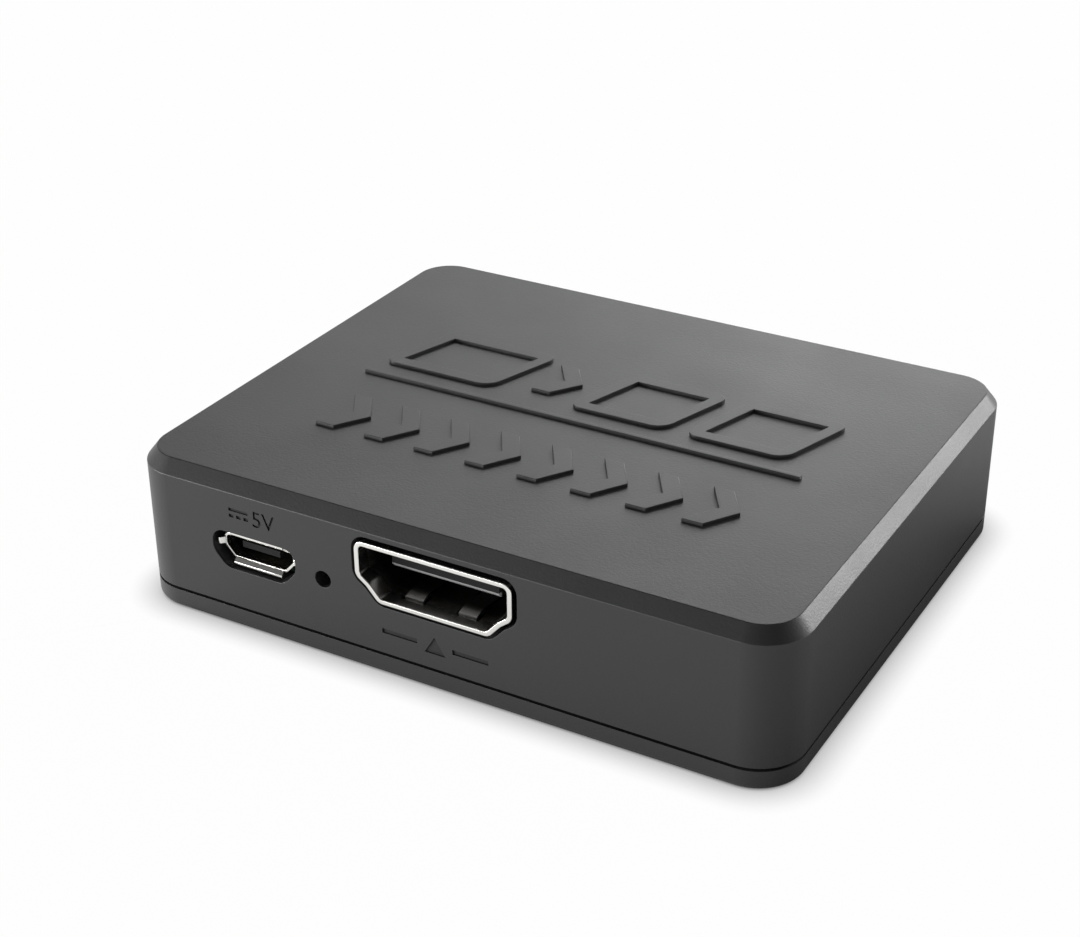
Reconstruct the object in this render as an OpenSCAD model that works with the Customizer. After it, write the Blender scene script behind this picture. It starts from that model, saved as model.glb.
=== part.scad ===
// Small video splitter: a snap-together plastic case round one circuit board.
// Front: power socket, lamp hole, one video socket. Back: two video sockets.
// Millimetres. X runs along the front, the front faces -Y, Z is up from the table.

/* [Case] */
// Width of the case along the front
case_w = 62; // [58:0.5:72]
// Depth of the case from front wall to back wall
case_d = 50; // [45:0.5:60]
// Height of the case from table to roof
case_h = 14.5; // [13.5:0.1:18]
// Radius of the upright corners
corner_r = 4.2; // [3.4:0.1:6]
// Width of the flat chamfer seen from above
chamfer_w = 1; // [0.6:0.1:1.4]
// Height of the flat chamfer seen from the front
chamfer_h = 1.25; // [0.6:0.05:1.5]
// Thickness of the walls
wall_t = 1.8; // [1.5:0.1:2]
// Thickness of the roof
roof_t = 1.8; // [1.4:0.1:2]
// Thickness of the floor
floor_t = 1.5; // [1.2:0.1:1.8]
// Height of the seam between the shell and the cover
seam_z = 2.1; // [1.9:0.1:2.6]
// Height of the shadow groove at the seam
seam_gap = 0.25; // [0.15:0.05:0.35]
// Depth of the shadow groove at the seam
seam_in = 0.6; // [0.4:0.1:0.8]
// Radius of the cover's round lower edge
foot_r = 0.6; // [0.4:0.1:1]
// Length of the raised line on the roof
line_w = 43.4; // [30:0.2:46]
// Breadth of the raised line on the roof
line_d = 0.5; // [0.3:0.1:1]
// Height of the raised line above the roof
line_h = 0.3; // [0.2:0.05:0.4]
// Distance of the raised line in front of the middle
line_y = 1.75; // [0:0.05:4]

/* [Snaps and posts] */
// Width of a snap hook
hook_w = 4; // [3:0.5:4.5]
// Sideways place of the front and back hooks
hook_x = 10.8; // [10.4:0.1:11]
// Thickness of the cover's locating lip
lip_t = 1; // [0.8:0.1:1.2]
// Reach of a snap barb past the lip
barb_d = 0.55; // [0.4:0.05:0.7]
// Radius of a board post
post_r = 2.2; // [1.9:0.1:2.3]
// Radius of the locating peg on a post
peg_r = 1; // [0.8:0.1:1.1]

/* [Board] */
// Thickness of the board
board_t = 1.6; // [1:0.1:1.8]
// Gap between the board and the walls
board_gap = 0.4; // [0.2:0.05:0.5]

/* [Video sockets] */
// Width of the socket opening
video_w = 14; // [13.8:0.1:14.2]
// Height of the socket opening
video_h = 4.55; // [4.4:0.05:4.65]
// Length of the socket shell
video_len = 11.6; // [11:0.1:12]
// Height of the socket opening's floor above the board
video_rise = 1.11; // [0.9:0.05:1.15]
// Reach of the socket mouth past the case
video_proud = 0.2; // [0:0.05:0.4]
// Distance of each back socket from the middle
video_out_x = 13.5; // [10.5:0.1:14]

/* [Power socket and lamp] */
// Width of the power socket opening
power_w = 6.9; // [6.7:0.1:7.1]
// Height of the power socket opening
power_h = 1.85; // [1.7:0.05:1.9]
// Distance of the power socket from the left end of the case
power_in = 13.05; // [12.9:0.05:13.2]
// Depth of the power socket's mouth behind the front face
power_sunk = 0.4; // [0.2:0.05:0.6]
// Distance from the power socket to the lamp
lamp_step = 7.1; // [7:0.05:7.2]
// Diameter of the lamp hole
lamp_hole_d = 1.55; // [1.2:0.05:1.7]

/* [Hidden] */
$fn = 64;
past = 1;
sides = [-1, 1];

// Heights through the case: the sockets hang just below the roof and set the board's place
sheet_t = 0.3;
head_gap = 0.44;
roof_under = case_h - roof_t;
board_top = roof_under - head_gap - sheet_t - video_h - video_rise;
board_z = board_top - board_t;
cavity_w = case_w - 2 * wall_t;
cavity_d = case_d - 2 * wall_t;
cavity_r = corner_r - wall_t;
front_y = -case_d / 2;
front_inner_y = -cavity_d / 2;

// Board outline and posts
board_w = cavity_w - 2 * board_gap;
board_d = cavity_d - 2 * board_gap;
board_r = max(cavity_r - board_gap, board_gap);
post_in = 2.8;
post_x = board_w / 2 - post_in;
post_y = board_d / 2 - post_in;
peg_h = 1.4;
peg_gap = 0.12;
peg_top_gap = 0.4;
rib_t = 0.9;
rib_drop = 1.2;

// Lip, hooks and the catches they spring into
lip_gap = 0.15;
under_h = board_z - seam_z;
lip_h = under_h / 2;
lip_w = cavity_w - 2 * lip_gap;
lip_d = cavity_d - 2 * lip_gap;
lip_r = max(cavity_r - lip_gap, lip_t + lip_gap);
hook_slit = 0.6;
hook_top = board_z - under_h / 8;
barb_z = seam_z + under_h / 3;
barb_edge = 0.2;
catch_gap = 0.1;
catch_d = barb_d - lip_gap + catch_gap;

// Rounding of the cover's lower edge
foot_steps = 6;
foot_edge = [for (k = [0 : foot_steps]) let (a = 90 * k / foot_steps)
    [foot_r * (1 - sin(a)), foot_r * (1 - cos(a))]];

// Video socket, measured from its mouth and from the top of the board
mouth_t = 0.5;
mouth_len = 0.55;
socket_gap = 0.3;
video_foot_w = 10;
video_waist_w = 12.1;
video_waist_z = 1.15;
video_side_z = 1.85;
video_bend_r = 0.55;
video_waist_r = 1.3;
video_leg_w = 1.2;
video_legs_y = [4.1, 9.2];
leg_out = 0.7;
leg_play = 0.25;
finger_w = 1.7;
finger_slit = 0.25;
finger_y = 1.3;
finger_len = 4.6;
finger_bend = 1.1;
finger_dip = 0.42;
finger_tip_dip = 0.12;
finger_low_x = 2.55;
finger_high_x = 3.4;
video_corners = [
    [video_foot_w / 2, 0], [video_waist_w / 2, video_waist_z],
    [video_w / 2, video_side_z], [video_w / 2, video_h],
    [-video_w / 2, video_h], [-video_w / 2, video_side_z],
    [-video_waist_w / 2, video_waist_z], [-video_foot_w / 2, 0]];

// Insulator and contacts of a video socket
fit_gap = 0.03;
tongue_w = 10.2;
tongue_t = 1.7;
tongue_drop = 0.85;
tongue_y = 2.1;
tongue_bevel = 0.35;
block_y = 7;
back_block_w = 13;
back_block_t = 1.1;
back_block_h = 4.9;
contact_w = 0.3;
contact_t = 0.15;
contact_proud = 0.05;
contact_pitch = 1;
contact_start = 0.6;
contact_drop = 0.5;
contact_foot = 0.9;
upper_contacts = 10;
lower_contacts = 9;
tongue_top = video_rise + video_h - tongue_drop;
tongue_low = tongue_top - tongue_t;

// Power socket, measured from its mouth and from the top of the board
power_sheet_t = 0.25;
power_mouth_t = 0.45;
power_mouth_len = 0.3;
power_gap = 0.38;
power_rise = 0.35;
power_foot_w = 5.2;
power_side_z = 0.95;
power_bend_r = 0.35;
power_len = 5.4;
power_leg_w = 0.9;
power_leg_y = 3.3;
power_tongue_w = 3.9;
power_tongue_t = 0.6;
power_tongue_drop = 0.35;
power_tongue_y = 0.7;
power_block_y = 3.4;
power_back_t = 0.7;
power_back_w = 5;
power_back_h = 1.8;
power_contact_w = 0.25;
power_contact_pitch = 0.65;
power_contact_count = 5;
power_contact_foot = 0.7;
power_x = -case_w / 2 + power_in;
power_y = front_y + power_sunk;
power_corners = [
    [power_foot_w / 2, 0], [power_w / 2, power_side_z], [power_w / 2, power_h],
    [-power_w / 2, power_h], [-power_w / 2, power_side_z], [-power_foot_w / 2, 0]];

// Lamp behind its hole
lamp_x = power_x + lamp_step;
lamp_rise = 1.22;
lamp_size = [2.4, 1.1, 2];
lamp_y = front_inner_y + board_gap + 0.1;
lamp_lens_r = 0.65;
lamp_lens_out = 0.35;
lamp_lead_t = 0.15;
lamp_lead_h = 0.9;
lamp_lead_foot = 0.5;

// Place on the board as a share of its width and depth
function on(x, y) = [x * board_w, y * board_d];

// Leaded packages: body width, body depth, body height
body_lift = 0.1;
body_draft = 0.12;
body_band = 0.2;
lead_t = 0.14;
dimple_r = 0.5;
dimple_in = 1.2;
dimple_depth = 0.1;
splitter_size = [10, 10, 1.4];
splitter_at = on(0.035, 0);
splitter_pins = 16;
splitter_pitch = 0.5;
splitter_pin_w = 0.22;
splitter_reach = 1;
memory_size = [4.9, 3.9, 1.5];
memory_at = on(0.278, -0.351);
memory_pins = 4;
memory_pitch = 1.27;
memory_pin_w = 0.42;
memory_reach = 1.05;
regulator_size = [6.5, 3.5, 1.6];
regulator_at = on(-0.347, -0.263);
regulator_pins = 3;
regulator_pitch = 2.3;
regulator_pin_w = 0.7;
regulator_tab_w = 3;
regulator_reach = 1.7;
core_size = [2.9, 1.6, 1.1];
core_at = on(-0.252, -0.066);
core_pitch = 0.95;
core_pin_w = 0.4;
core_reach = 0.6;

// Crystal, inductor and filter capacitor
crystal_at = on(0.278, -0.19);
crystal_base_size = [11.4, 4.7, 0.6];
crystal_flange = [11, 4.5, 0.4];
crystal_can_size = [10.2, 3.7, 2.6];
crystal_lead = [1.6, 0.5, 0.2];
inductor_at = on(-0.365, -0.05);
inductor_size = [5, 5, 2];
inductor_notch = 0.6;
inductor_end_w = 2.4;
inductor_end_t = 0.2;
inductor_foot = 1;
filter_at = on(-0.212, -0.311);
filter_base = [5.3, 5.3, 0.8];
filter_corner = 1.2;
filter_r = 2.5;
filter_h = 4.4;
filter_groove_z = 1;
filter_groove = 0.25;
filter_edge = 0.4;
filter_lead = [1.5, 0.7, 0.2];

// Small two-ended parts: length, width, height
small_cap_size = [1.6, 0.8, 0.8];
small_res_size = [1.6, 0.8, 0.45];
small_end = 0.3;
row_pitch = 1.2;
row_count = 8;
surge_size = [2.5, 1, 0.5];
surge_x = 6.6;
surge_pins = 4;
surge_pitch = 0.5;
surge_pin = [0.2, 0.3, 0.12];
cap_out = 8;
cap_step = 3.2;
power_cap_in = 2.8;
power_cap_step = 2.4;

// Rows of small parts
in_y = front_y - video_proud;
tails_y = in_y + video_len + back_block_t + contact_foot;
chip_edge_y = splitter_size.y / 2 + splitter_reach;
row_y = (tails_y - chip_edge_y) / 2;
row_spots = [for (k = [0 : row_count - 1]) [(k - (row_count - 1) / 2) * row_pitch, row_y]];
surge_spots = [for (s = sides) [s * surge_x, row_y]];
function socket_spots(p) = concat(p, [for (s = sides, q = p) [s * video_out_x, 0] - q]);
resistor_spots = socket_spots(row_spots);
surge_places = socket_spots(surge_spots);
chip_cap_spots = [for (s = sides, k = [-1 : 1]) splitter_at + [s * cap_out, k * cap_step]];
power_cap_spots = [for (k = [-1 : 2]) [power_cap_in - board_w / 2, k * power_cap_step - small_cap_size.x]];
capacitor_spots = concat(chip_cap_spots, power_cap_spots);

// Outline with every edge moved outwards by g
function unit(v) = v / norm(v);
function at(p, i) = p[(i + len(p)) % len(p)];
function outward(p, i) = let (e = unit(at(p, i + 1) - at(p, i))) [e.y, -e.x];
function grown(p, g) = [for (i = [0 : len(p) - 1])
    let (a = outward(p, i - 1), b = outward(p, i)) p[i] + g * (a + b) / (1 + a * b)];

// Outline with every corner turned into an arc, out_r on outer and in_r on inner corners
arc_steps = 6;
function turned(v, t) = [v.x * cos(t) - v.y * sin(t), v.x * sin(t) + v.y * cos(t)];
function corner_arc(p, i, out_r, in_r) = let (
    u = unit(at(p, i - 1) - p[i]),
    v = unit(at(p, i + 1) - p[i]),
    way = sign(cross(v, u)),
    r = way > 0 ? out_r : in_r,
    half = acos(u * v) / 2,
    c = p[i] + unit(u + v) * r / sin(half),
    a = p[i] + u * r / tan(half) - c,
    sweep = way * (180 - 2 * half))
    [for (k = [0 : arc_steps]) c + turned(a, sweep * k / arc_steps)];
function rounded(p, out_r, in_r) = [for (i = [0 : len(p) - 1]) each corner_arc(p, i, out_r, in_r)];
function raised(p, z) = [for (q = p) [q.x, q.y + z]];
function video_outline(g) = raised(
    rounded(grown(video_corners, g), video_bend_r + g, video_waist_r - g), video_rise);
function power_outline(g) = raised(
    rounded(grown(power_corners, g), power_bend_r + g, power_bend_r), power_rise);

// Prism along Y of an outline in X and Z
module along_y(y0, y1, outline) {
    translate([0, y1, 0])
        rotate([90, 0, 0])
            linear_extrude(y1 - y0)
                polygon(outline);
}

// Prism along X of an outline in Y and Z, centred on x = 0
module along_x(w, outline) {
    translate([-w / 2, 0, 0])
        rotate([90, 0, 90])
            linear_extrude(w)
                polygon(outline);
}

// Plate with round upright corners
module plate(w, d, r, h) {
    linear_extrude(h) {
        square([w - 2 * r, d], center = true);
        square([w, d - 2 * r], center = true);
        for (sx = sides, sy = sides)
            translate([sx * (w / 2 - r), sy * (d / 2 - r)])
                circle(r);
    }
}

// Plate with two fully round ends
module long_round(w, d, h) {
    linear_extrude(h) {
        square([w - d, d], center = true);
        for (s = sides)
            translate([s * (w - d) / 2, 0])
                circle(d = d);
    }
}

// Plate with round upright corners whose edge follows steps of [inset, height]
module edged_plate(w, d, r, steps) {
    flip = [for (i = [len(steps) - 1 : -1 : 0]) steps[i]];
    along_x(w - 2 * r, concat([for (s = steps) [d / 2 - s.x, s.y]], [for (s = flip) [s.x - d / 2, s.y]]));
    rotate([0, 0, 90])
        along_x(d - 2 * r, concat([for (s = steps) [w / 2 - s.x, s.y]], [for (s = flip) [s.x - w / 2, s.y]]));
    for (sx = sides, sy = sides)
        translate([sx * (w / 2 - r), sy * (d / 2 - r), 0])
            rotate_extrude()
                polygon(concat([[0, steps[0].y]], [for (s = steps) [r - s.x, s.y]], [[0, flip[0].y]]));
}

// Children as they are, or mirrored left to right when way is below zero
module flipped(way) {
    mirror([way < 0 ? 1 : 0, 0, 0])
        children();
}

// Children repeated at the four posts
module at_posts() {
    for (sx = sides, sy = sides)
        translate([sx * post_x, sy * post_y, 0])
            flipped(sx)
                children();
}

// Children repeated at each hook, with +Y pointing out through the wall and y = 0 on the cavity wall
module at_hooks() {
    for (s = sides) {
        translate([s * hook_x, cavity_d / 2, 0])
            children();
        translate([s * hook_x, -cavity_d / 2, 0])
            rotate([0, 0, 180])
                children();
        translate([s * cavity_w / 2, 0, 0])
            rotate([0, 0, -90 * s])
                children();
    }
}

// Children placed at the front video socket
module at_video_in() {
    translate([0, in_y, board_top])
        children();
}

// Children placed at one of the two back video sockets
module at_video_out(side) {
    translate([side * video_out_x, -in_y, board_top])
        rotate([0, 0, 180])
            children();
}

// Children placed at the power socket
module at_power() {
    translate([power_x, power_y, board_top])
        children();
}

// Case: top shell
module socket_holes() {
    at_video_in()
        along_y(-past, wall_t + video_proud + past, video_outline(mouth_t + socket_gap));
    for (s = sides)
        at_video_out(s)
            along_y(-past, wall_t + video_proud + past, video_outline(mouth_t + socket_gap));
    at_power()
        along_y(-power_sunk - past, wall_t, power_outline(power_mouth_t + power_gap));
    translate([lamp_x, front_inner_y + past / 2, board_top + lamp_rise])
        rotate([90, 0, 0])
            cylinder(d = lamp_hole_d, h = wall_t + past);
}

module board_clamp() {
    clamp_h = roof_under - board_top;
    difference() {
        union() {
            cylinder(r = post_r, h = clamp_h + roof_t / 2);
            translate([0, -rib_t / 2, rib_drop])
                cube([cavity_w / 2 - post_x + wall_t / 2, rib_t, clamp_h - rib_drop + roof_t / 2]);
        }
        translate([0, 0, -past])
            cylinder(r = peg_r + peg_gap, h = past + peg_h + peg_top_gap);
    }
}

module top_shell() {
    color([0.24, 0.24, 0.25]) {
        difference() {
            edged_plate(case_w, case_d, corner_r,
                [[0, seam_z], [0, case_h - chamfer_h], [chamfer_w, case_h]]);
            translate([0, 0, seam_z - past])
                plate(cavity_w, cavity_d, cavity_r, roof_under - seam_z + past);
            socket_holes();
            at_hooks()
                translate([-hook_w / 2 - catch_gap, -past, barb_z - catch_gap])
                    cube([hook_w + 2 * catch_gap, past + catch_d, hook_top - barb_z + 2 * catch_gap]);
        }
        translate([0, 0, board_top])
            at_posts()
                board_clamp();
        translate([-line_w / 2, -line_y - line_d / 2, case_h - roof_t / 2])
            cube([line_w, line_d, roof_t / 2 + line_h]);
    }
}

// Case: bottom cover
module hook() {
    translate([0, -lip_gap, 0]) {
        translate([-hook_w / 2, -lip_t, floor_t / 2])
            cube([hook_w, lip_t, hook_top - floor_t / 2]);
        along_x(hook_w, [[0, barb_z], [barb_d, barb_z], [barb_d, barb_z + barb_edge], [0, hook_top]]);
    }
}

module board_post() {
    translate([0, 0, floor_t / 2])
        cylinder(r = post_r, h = board_z - floor_t / 2);
    translate([0, 0, floor_t])
        cylinder(r = peg_r, h = board_top + peg_h - floor_t);
}

module bottom_cover() {
    color([0.22, 0.22, 0.23]) {
        difference() {
            union() {
                edged_plate(case_w, case_d, corner_r, concat(foot_edge, [[0, seam_z - seam_gap]]));
                plate(case_w - 2 * seam_in, case_d - 2 * seam_in, corner_r - seam_in, seam_z);
                plate(lip_w, lip_d, lip_r, seam_z + lip_h);
            }
            translate([0, 0, floor_t])
                plate(lip_w - 2 * lip_t, lip_d - 2 * lip_t, lip_r - lip_t, seam_z + lip_h);
            at_hooks()
                translate([-hook_w / 2 - hook_slit, -lip_gap - lip_t - past, seam_z])
                    cube([hook_w + 2 * hook_slit, lip_t + lip_gap + past, lip_h + past]);
        }
        at_hooks()
            hook();
        at_posts()
            board_post();
    }
}

// Circuit board
module leg_slot(w) {
    translate([0, 0, -board_t - past])
        linear_extrude(board_t + 2 * past) {
            square([sheet_t + 2 * leg_play, w], center = true);
            for (s = sides)
                translate([0, s * w / 2])
                    circle(d = sheet_t + 2 * leg_play);
        }
}

module video_leg_slots() {
    for (s = sides, y = video_legs_y)
        translate([s * (video_w + sheet_t) / 2, y, 0])
            leg_slot(video_leg_w);
}

module circuit_board() {
    color([0.06, 0.3, 0.16])
        difference() {
            translate([0, 0, board_z])
                plate(board_w, board_d, board_r, board_t);
            at_posts()
                translate([0, 0, board_z - past])
                    cylinder(r = peg_r + peg_gap, h = board_t + 2 * past);
            at_video_in()
                video_leg_slots();
            for (s = sides)
                at_video_out(s)
                    video_leg_slots();
            at_power()
                for (s = sides)
                    translate([s * (power_w + power_sheet_t) / 2, power_leg_y, 0])
                        leg_slot(power_leg_w);
        }
}

// Video socket, mouth at y = 0 facing -Y, board top at z = 0
module finger_at(x, z, way) {
    y_end = finger_y + finger_len;
    path = [[y_end, 0], [finger_y + finger_bend, -way * finger_dip], [finger_y, -way * finger_tip_dip]];
    lift = [for (i = [2 : -1 : 0]) path[i] + [0, way * sheet_t]];
    translate([x, 0, z])
        along_x(finger_w, concat(path, lift));
}

module finger_window(x, z) {
    translate([x - finger_w / 2 - finger_slit, finger_y - finger_slit, z - sheet_t / 2])
        cube([finger_w + 2 * finger_slit, finger_len + finger_slit, 2 * sheet_t]);
}

module video_shell() {
    top_z = video_rise + video_h;
    difference() {
        union() {
            along_y(0, video_len, video_outline(sheet_t));
            along_y(0, mouth_len, video_outline(mouth_t));
        }
        along_y(-past, video_len + past, video_outline(0));
        for (s = sides) {
            finger_window(s * finger_high_x, top_z);
            finger_window(s * finger_low_x, video_rise - sheet_t);
        }
    }
    for (s = sides) {
        finger_at(s * finger_high_x, top_z, 1);
        finger_at(s * finger_low_x, video_rise, -1);
        for (y = video_legs_y)
            translate([s * (video_w + sheet_t) / 2 - sheet_t / 2, y - video_leg_w / 2, -board_t - leg_out])
                cube([sheet_t, video_leg_w, board_t + leg_out + video_rise + video_h / 2]);
    }
}

// Bent strip along the tongue, down behind the shell and out along the board
module contact_bar(w, z, start, drop_y, foot) {
    along_x(w, [[start, z], [start, z - contact_t], [drop_y, z - contact_t], [drop_y, 0],
        [drop_y + foot, 0], [drop_y + foot, contact_t], [drop_y + contact_t, contact_t],
        [drop_y + contact_t, z]]);
}

module video_contacts() {
    drop_y = video_len + contact_drop;
    foot = back_block_t - contact_drop + contact_foot;
    for (k = [0 : upper_contacts - 1])
        translate([(k - (upper_contacts - 1) / 2) * contact_pitch, 0, 0])
            contact_bar(contact_w, tongue_top + contact_proud, tongue_y + contact_start, drop_y, foot);
    for (k = [0 : lower_contacts - 1])
        translate([(k - (lower_contacts - 1) / 2) * contact_pitch, 0, 0])
            contact_bar(contact_w, tongue_low + contact_t - contact_proud,
                tongue_y + contact_start, drop_y, foot);
}

module video_insulator() {
    difference() {
        union() {
            along_y(block_y, video_len, video_outline(-fit_gap));
            along_x(tongue_w, [[block_y, tongue_low], [block_y, tongue_top],
                [tongue_y + tongue_bevel, tongue_top], [tongue_y, tongue_top - tongue_bevel],
                [tongue_y, tongue_low + tongue_bevel], [tongue_y + tongue_bevel, tongue_low]]);
            translate([-back_block_w / 2, video_len, 0])
                cube([back_block_w, back_block_t, back_block_h]);
        }
        video_contacts();
    }
}

module socket_metal() {
    color([0.78, 0.78, 0.76])
        children();
}

module socket_black() {
    color([0.06, 0.06, 0.06])
        children();
}

module contact_gold() {
    color([0.85, 0.68, 0.32])
        children();
}

module lead_tin() {
    color([0.72, 0.72, 0.73])
        children();
}

module video_in_shell() {
    socket_metal()
        at_video_in()
            video_shell();
}

module video_in_insulator() {
    socket_black()
        at_video_in()
            video_insulator();
}

module video_in_contacts() {
    contact_gold()
        at_video_in()
            video_contacts();
}

module video_out_1_shell() {
    socket_metal()
        at_video_out(-1)
            video_shell();
}

module video_out_1_insulator() {
    socket_black()
        at_video_out(-1)
            video_insulator();
}

module video_out_1_contacts() {
    contact_gold()
        at_video_out(-1)
            video_contacts();
}

module video_out_2_shell() {
    socket_metal()
        at_video_out(1)
            video_shell();
}

module video_out_2_insulator() {
    socket_black()
        at_video_out(1)
            video_insulator();
}

module video_out_2_contacts() {
    contact_gold()
        at_video_out(1)
            video_contacts();
}

// Power socket
module power_shell() {
    socket_metal()
        at_power() {
            difference() {
                union() {
                    along_y(0, power_len, power_outline(power_sheet_t));
                    along_y(0, power_mouth_len, power_outline(power_mouth_t));
                }
                along_y(-past, power_len + past, power_outline(0));
            }
            for (s = sides)
                translate([s * (power_w + power_sheet_t) / 2 - power_sheet_t / 2,
                    power_leg_y - power_leg_w / 2, -board_t - leg_out])
                    cube([power_sheet_t, power_leg_w, board_t + leg_out + power_rise + power_side_z + power_sheet_t]);
        }
}

module power_contact_bars() {
    low_z = power_rise + power_h - power_tongue_drop - power_tongue_t;
    drop_y = power_len + power_back_t / 2;
    for (k = [0 : power_contact_count - 1])
        translate([(k - (power_contact_count - 1) / 2) * power_contact_pitch, 0, 0])
            contact_bar(power_contact_w, low_z + contact_t - contact_proud,
                power_tongue_y + contact_start / 2, drop_y, power_back_t / 2 + power_contact_foot);
}

module power_insulator() {
    tongue_z = power_rise + power_h - power_tongue_drop - power_tongue_t;
    socket_black()
        at_power()
            difference() {
                union() {
                    along_y(power_block_y, power_len, power_outline(-fit_gap));
                    translate([-power_tongue_w / 2, power_tongue_y, tongue_z])
                        cube([power_tongue_w, power_block_y - power_tongue_y, power_tongue_t]);
                    translate([-power_back_w / 2, power_len, 0])
                        cube([power_back_w, power_back_t, power_back_h]);
                }
                power_contact_bars();
            }
}

module power_contacts() {
    contact_gold()
        at_power()
            power_contact_bars();
}

// Lamp
module at_lamp() {
    translate([lamp_x, lamp_y, board_top])
        children();
}

module lamp_body() {
    color([0.92, 0.92, 0.88])
        at_lamp()
            translate([-lamp_size.x / 2, 0, 0])
                cube(lamp_size);
}

module lamp_lens() {
    dome_r = (lamp_lens_r * lamp_lens_r + lamp_lens_out * lamp_lens_out) / (2 * lamp_lens_out);
    color([0.85, 0.9, 0.95])
        at_lamp()
            translate([0, 0, lamp_rise])
                intersection() {
                    translate([0, dome_r - lamp_lens_out, 0])
                        sphere(dome_r);
                    translate([-dome_r, -dome_r, -dome_r])
                        cube([2 * dome_r, dome_r, 2 * dome_r]);
                }
}

module lamp_leads() {
    lead_tin()
        at_lamp()
            for (s = sides)
                flipped(s)
                    translate([lamp_size.x / 2, lamp_size.y, 0])
                        rotate([90, 0, 0])
                            linear_extrude(lamp_size.y)
                                polygon([[0, 0], [lamp_lead_foot, 0], [lamp_lead_foot, lamp_lead_t],
                                    [lamp_lead_t, lamp_lead_t], [lamp_lead_t, lamp_lead_h], [0, lamp_lead_h]]);
}

// Moulded package body with drafted sides, a flat band at the leads and a corner dimple
module package(size, dimple) {
    mid = body_lift + size.z / 2;
    top = body_lift + size.z;
    difference() {
        intersection() {
            along_x(size.x, package_side(size.y, mid, top));
            rotate([0, 0, 90])
                along_x(size.y, package_side(size.x, mid, top));
        }
        if (dimple)
            translate([-size.x / 2 + dimple_in, -size.y / 2 + dimple_in, top - dimple_depth])
                cylinder(r = dimple_r, h = past);
    }
}

function package_side(w, mid, top) = [
    [body_draft - w / 2, body_lift], [w / 2 - body_draft, body_lift],
    [w / 2, mid - body_band / 2], [w / 2, mid + body_band / 2],
    [w / 2 - body_draft, top], [body_draft - w / 2, top],
    [-w / 2, mid + body_band / 2], [-w / 2, mid - body_band / 2]];

// Row of bent leads out of the +Y side of a body
module lead_row(size, count, pitch, w, reach) {
    mid = body_lift + size.z / 2;
    knee = reach / 3;
    heel = reach / 2;
    for (k = [0 : count - 1])
        translate([(k - (count - 1) / 2) * pitch, size.y / 2, 0])
            along_x(w, [[0, mid - lead_t / 2], [knee - lead_t / 2, mid - lead_t / 2], [heel - lead_t / 2, 0],
                [reach, 0], [reach, lead_t], [heel + lead_t / 2, lead_t],
                [knee + lead_t / 2, mid + lead_t / 2], [0, mid + lead_t / 2]]);
}

// Children placed on the board
module on_board(p) {
    translate([p.x, p.y, board_top])
        children();
}

module chip_black() {
    color([0.08, 0.08, 0.09])
        children();
}

module splitter_chip() {
    chip_black()
        on_board(splitter_at)
            package(splitter_size, true);
}

module splitter_chip_leads() {
    lead_tin()
        on_board(splitter_at)
            for (a = [0 : 90 : 270])
                rotate([0, 0, a])
                    lead_row(splitter_size, splitter_pins, splitter_pitch, splitter_pin_w, splitter_reach);
}

module memory_chip() {
    chip_black()
        on_board(memory_at)
            package(memory_size, true);
}

module memory_chip_leads() {
    lead_tin()
        on_board(memory_at)
            for (a = [0, 180])
                rotate([0, 0, a])
                    lead_row(memory_size, memory_pins, memory_pitch, memory_pin_w, memory_reach);
}

module regulator() {
    chip_black()
        on_board(regulator_at)
            package(regulator_size, false);
}

module regulator_leads() {
    lead_tin()
        on_board(regulator_at) {
            lead_row(regulator_size, 1, 0, regulator_tab_w, regulator_reach);
            rotate([0, 0, 180])
                lead_row(regulator_size, regulator_pins, regulator_pitch, regulator_pin_w, regulator_reach);
        }
}

module core_regulator() {
    chip_black()
        on_board(core_at)
            package(core_size, false);
}

module core_regulator_leads() {
    lead_tin()
        on_board(core_at) {
            lead_row(core_size, 2, 2 * core_pitch, core_pin_w, core_reach);
            rotate([0, 0, 180])
                lead_row(core_size, 3, core_pitch, core_pin_w, core_reach);
        }
}

// Crystal
module crystal_base() {
    chip_black()
        on_board(crystal_at)
            difference() {
                translate([-crystal_base_size.x / 2, -crystal_base_size.y / 2, 0])
                    cube(crystal_base_size);
                crystal_lead_pair();
            }
}

module crystal_lead_pair() {
    for (s = sides)
        flipped(s)
            translate([crystal_base_size.x / 2 - crystal_lead.x / 2, -crystal_lead.y / 2, 0])
                cube(crystal_lead);
}

module crystal_leads() {
    lead_tin()
        on_board(crystal_at)
            crystal_lead_pair();
}

module crystal_can() {
    socket_metal()
        on_board(crystal_at)
            translate([0, 0, crystal_base_size.z]) {
                long_round(crystal_flange.x, crystal_flange.y, crystal_flange.z);
                long_round(crystal_can_size.x, crystal_can_size.y, crystal_flange.z + crystal_can_size.z);
            }
}

// Inductor
module inductor_clips() {
    for (s = sides)
        flipped(s)
            translate([inductor_size.x / 2, inductor_end_w / 2, 0])
                rotate([90, 0, 0])
                    linear_extrude(inductor_end_w)
                        polygon([[inductor_end_t, 0], [inductor_end_t, inductor_size.z / 2], [0, inductor_size.z / 2],
                            [0, inductor_end_t], [-inductor_foot, inductor_end_t], [-inductor_foot, 0]]);
}

module inductor() {
    color([0.2, 0.2, 0.21])
        on_board(inductor_at)
            difference() {
                edged_plate(inductor_size.x, inductor_size.y, inductor_notch,
                    [[0, 0], [0, inductor_size.z - inductor_end_t], [inductor_end_t, inductor_size.z]]);
                inductor_clips();
            }
}

module inductor_terminals() {
    lead_tin()
        on_board(inductor_at)
            inductor_clips();
}

// Filter capacitor
module filter_strips() {
    for (s = sides)
        flipped(s)
            translate([filter_base.x / 2 - filter_lead.x / 2, -filter_lead.y / 2, 0])
                cube(filter_lead);
}

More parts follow.
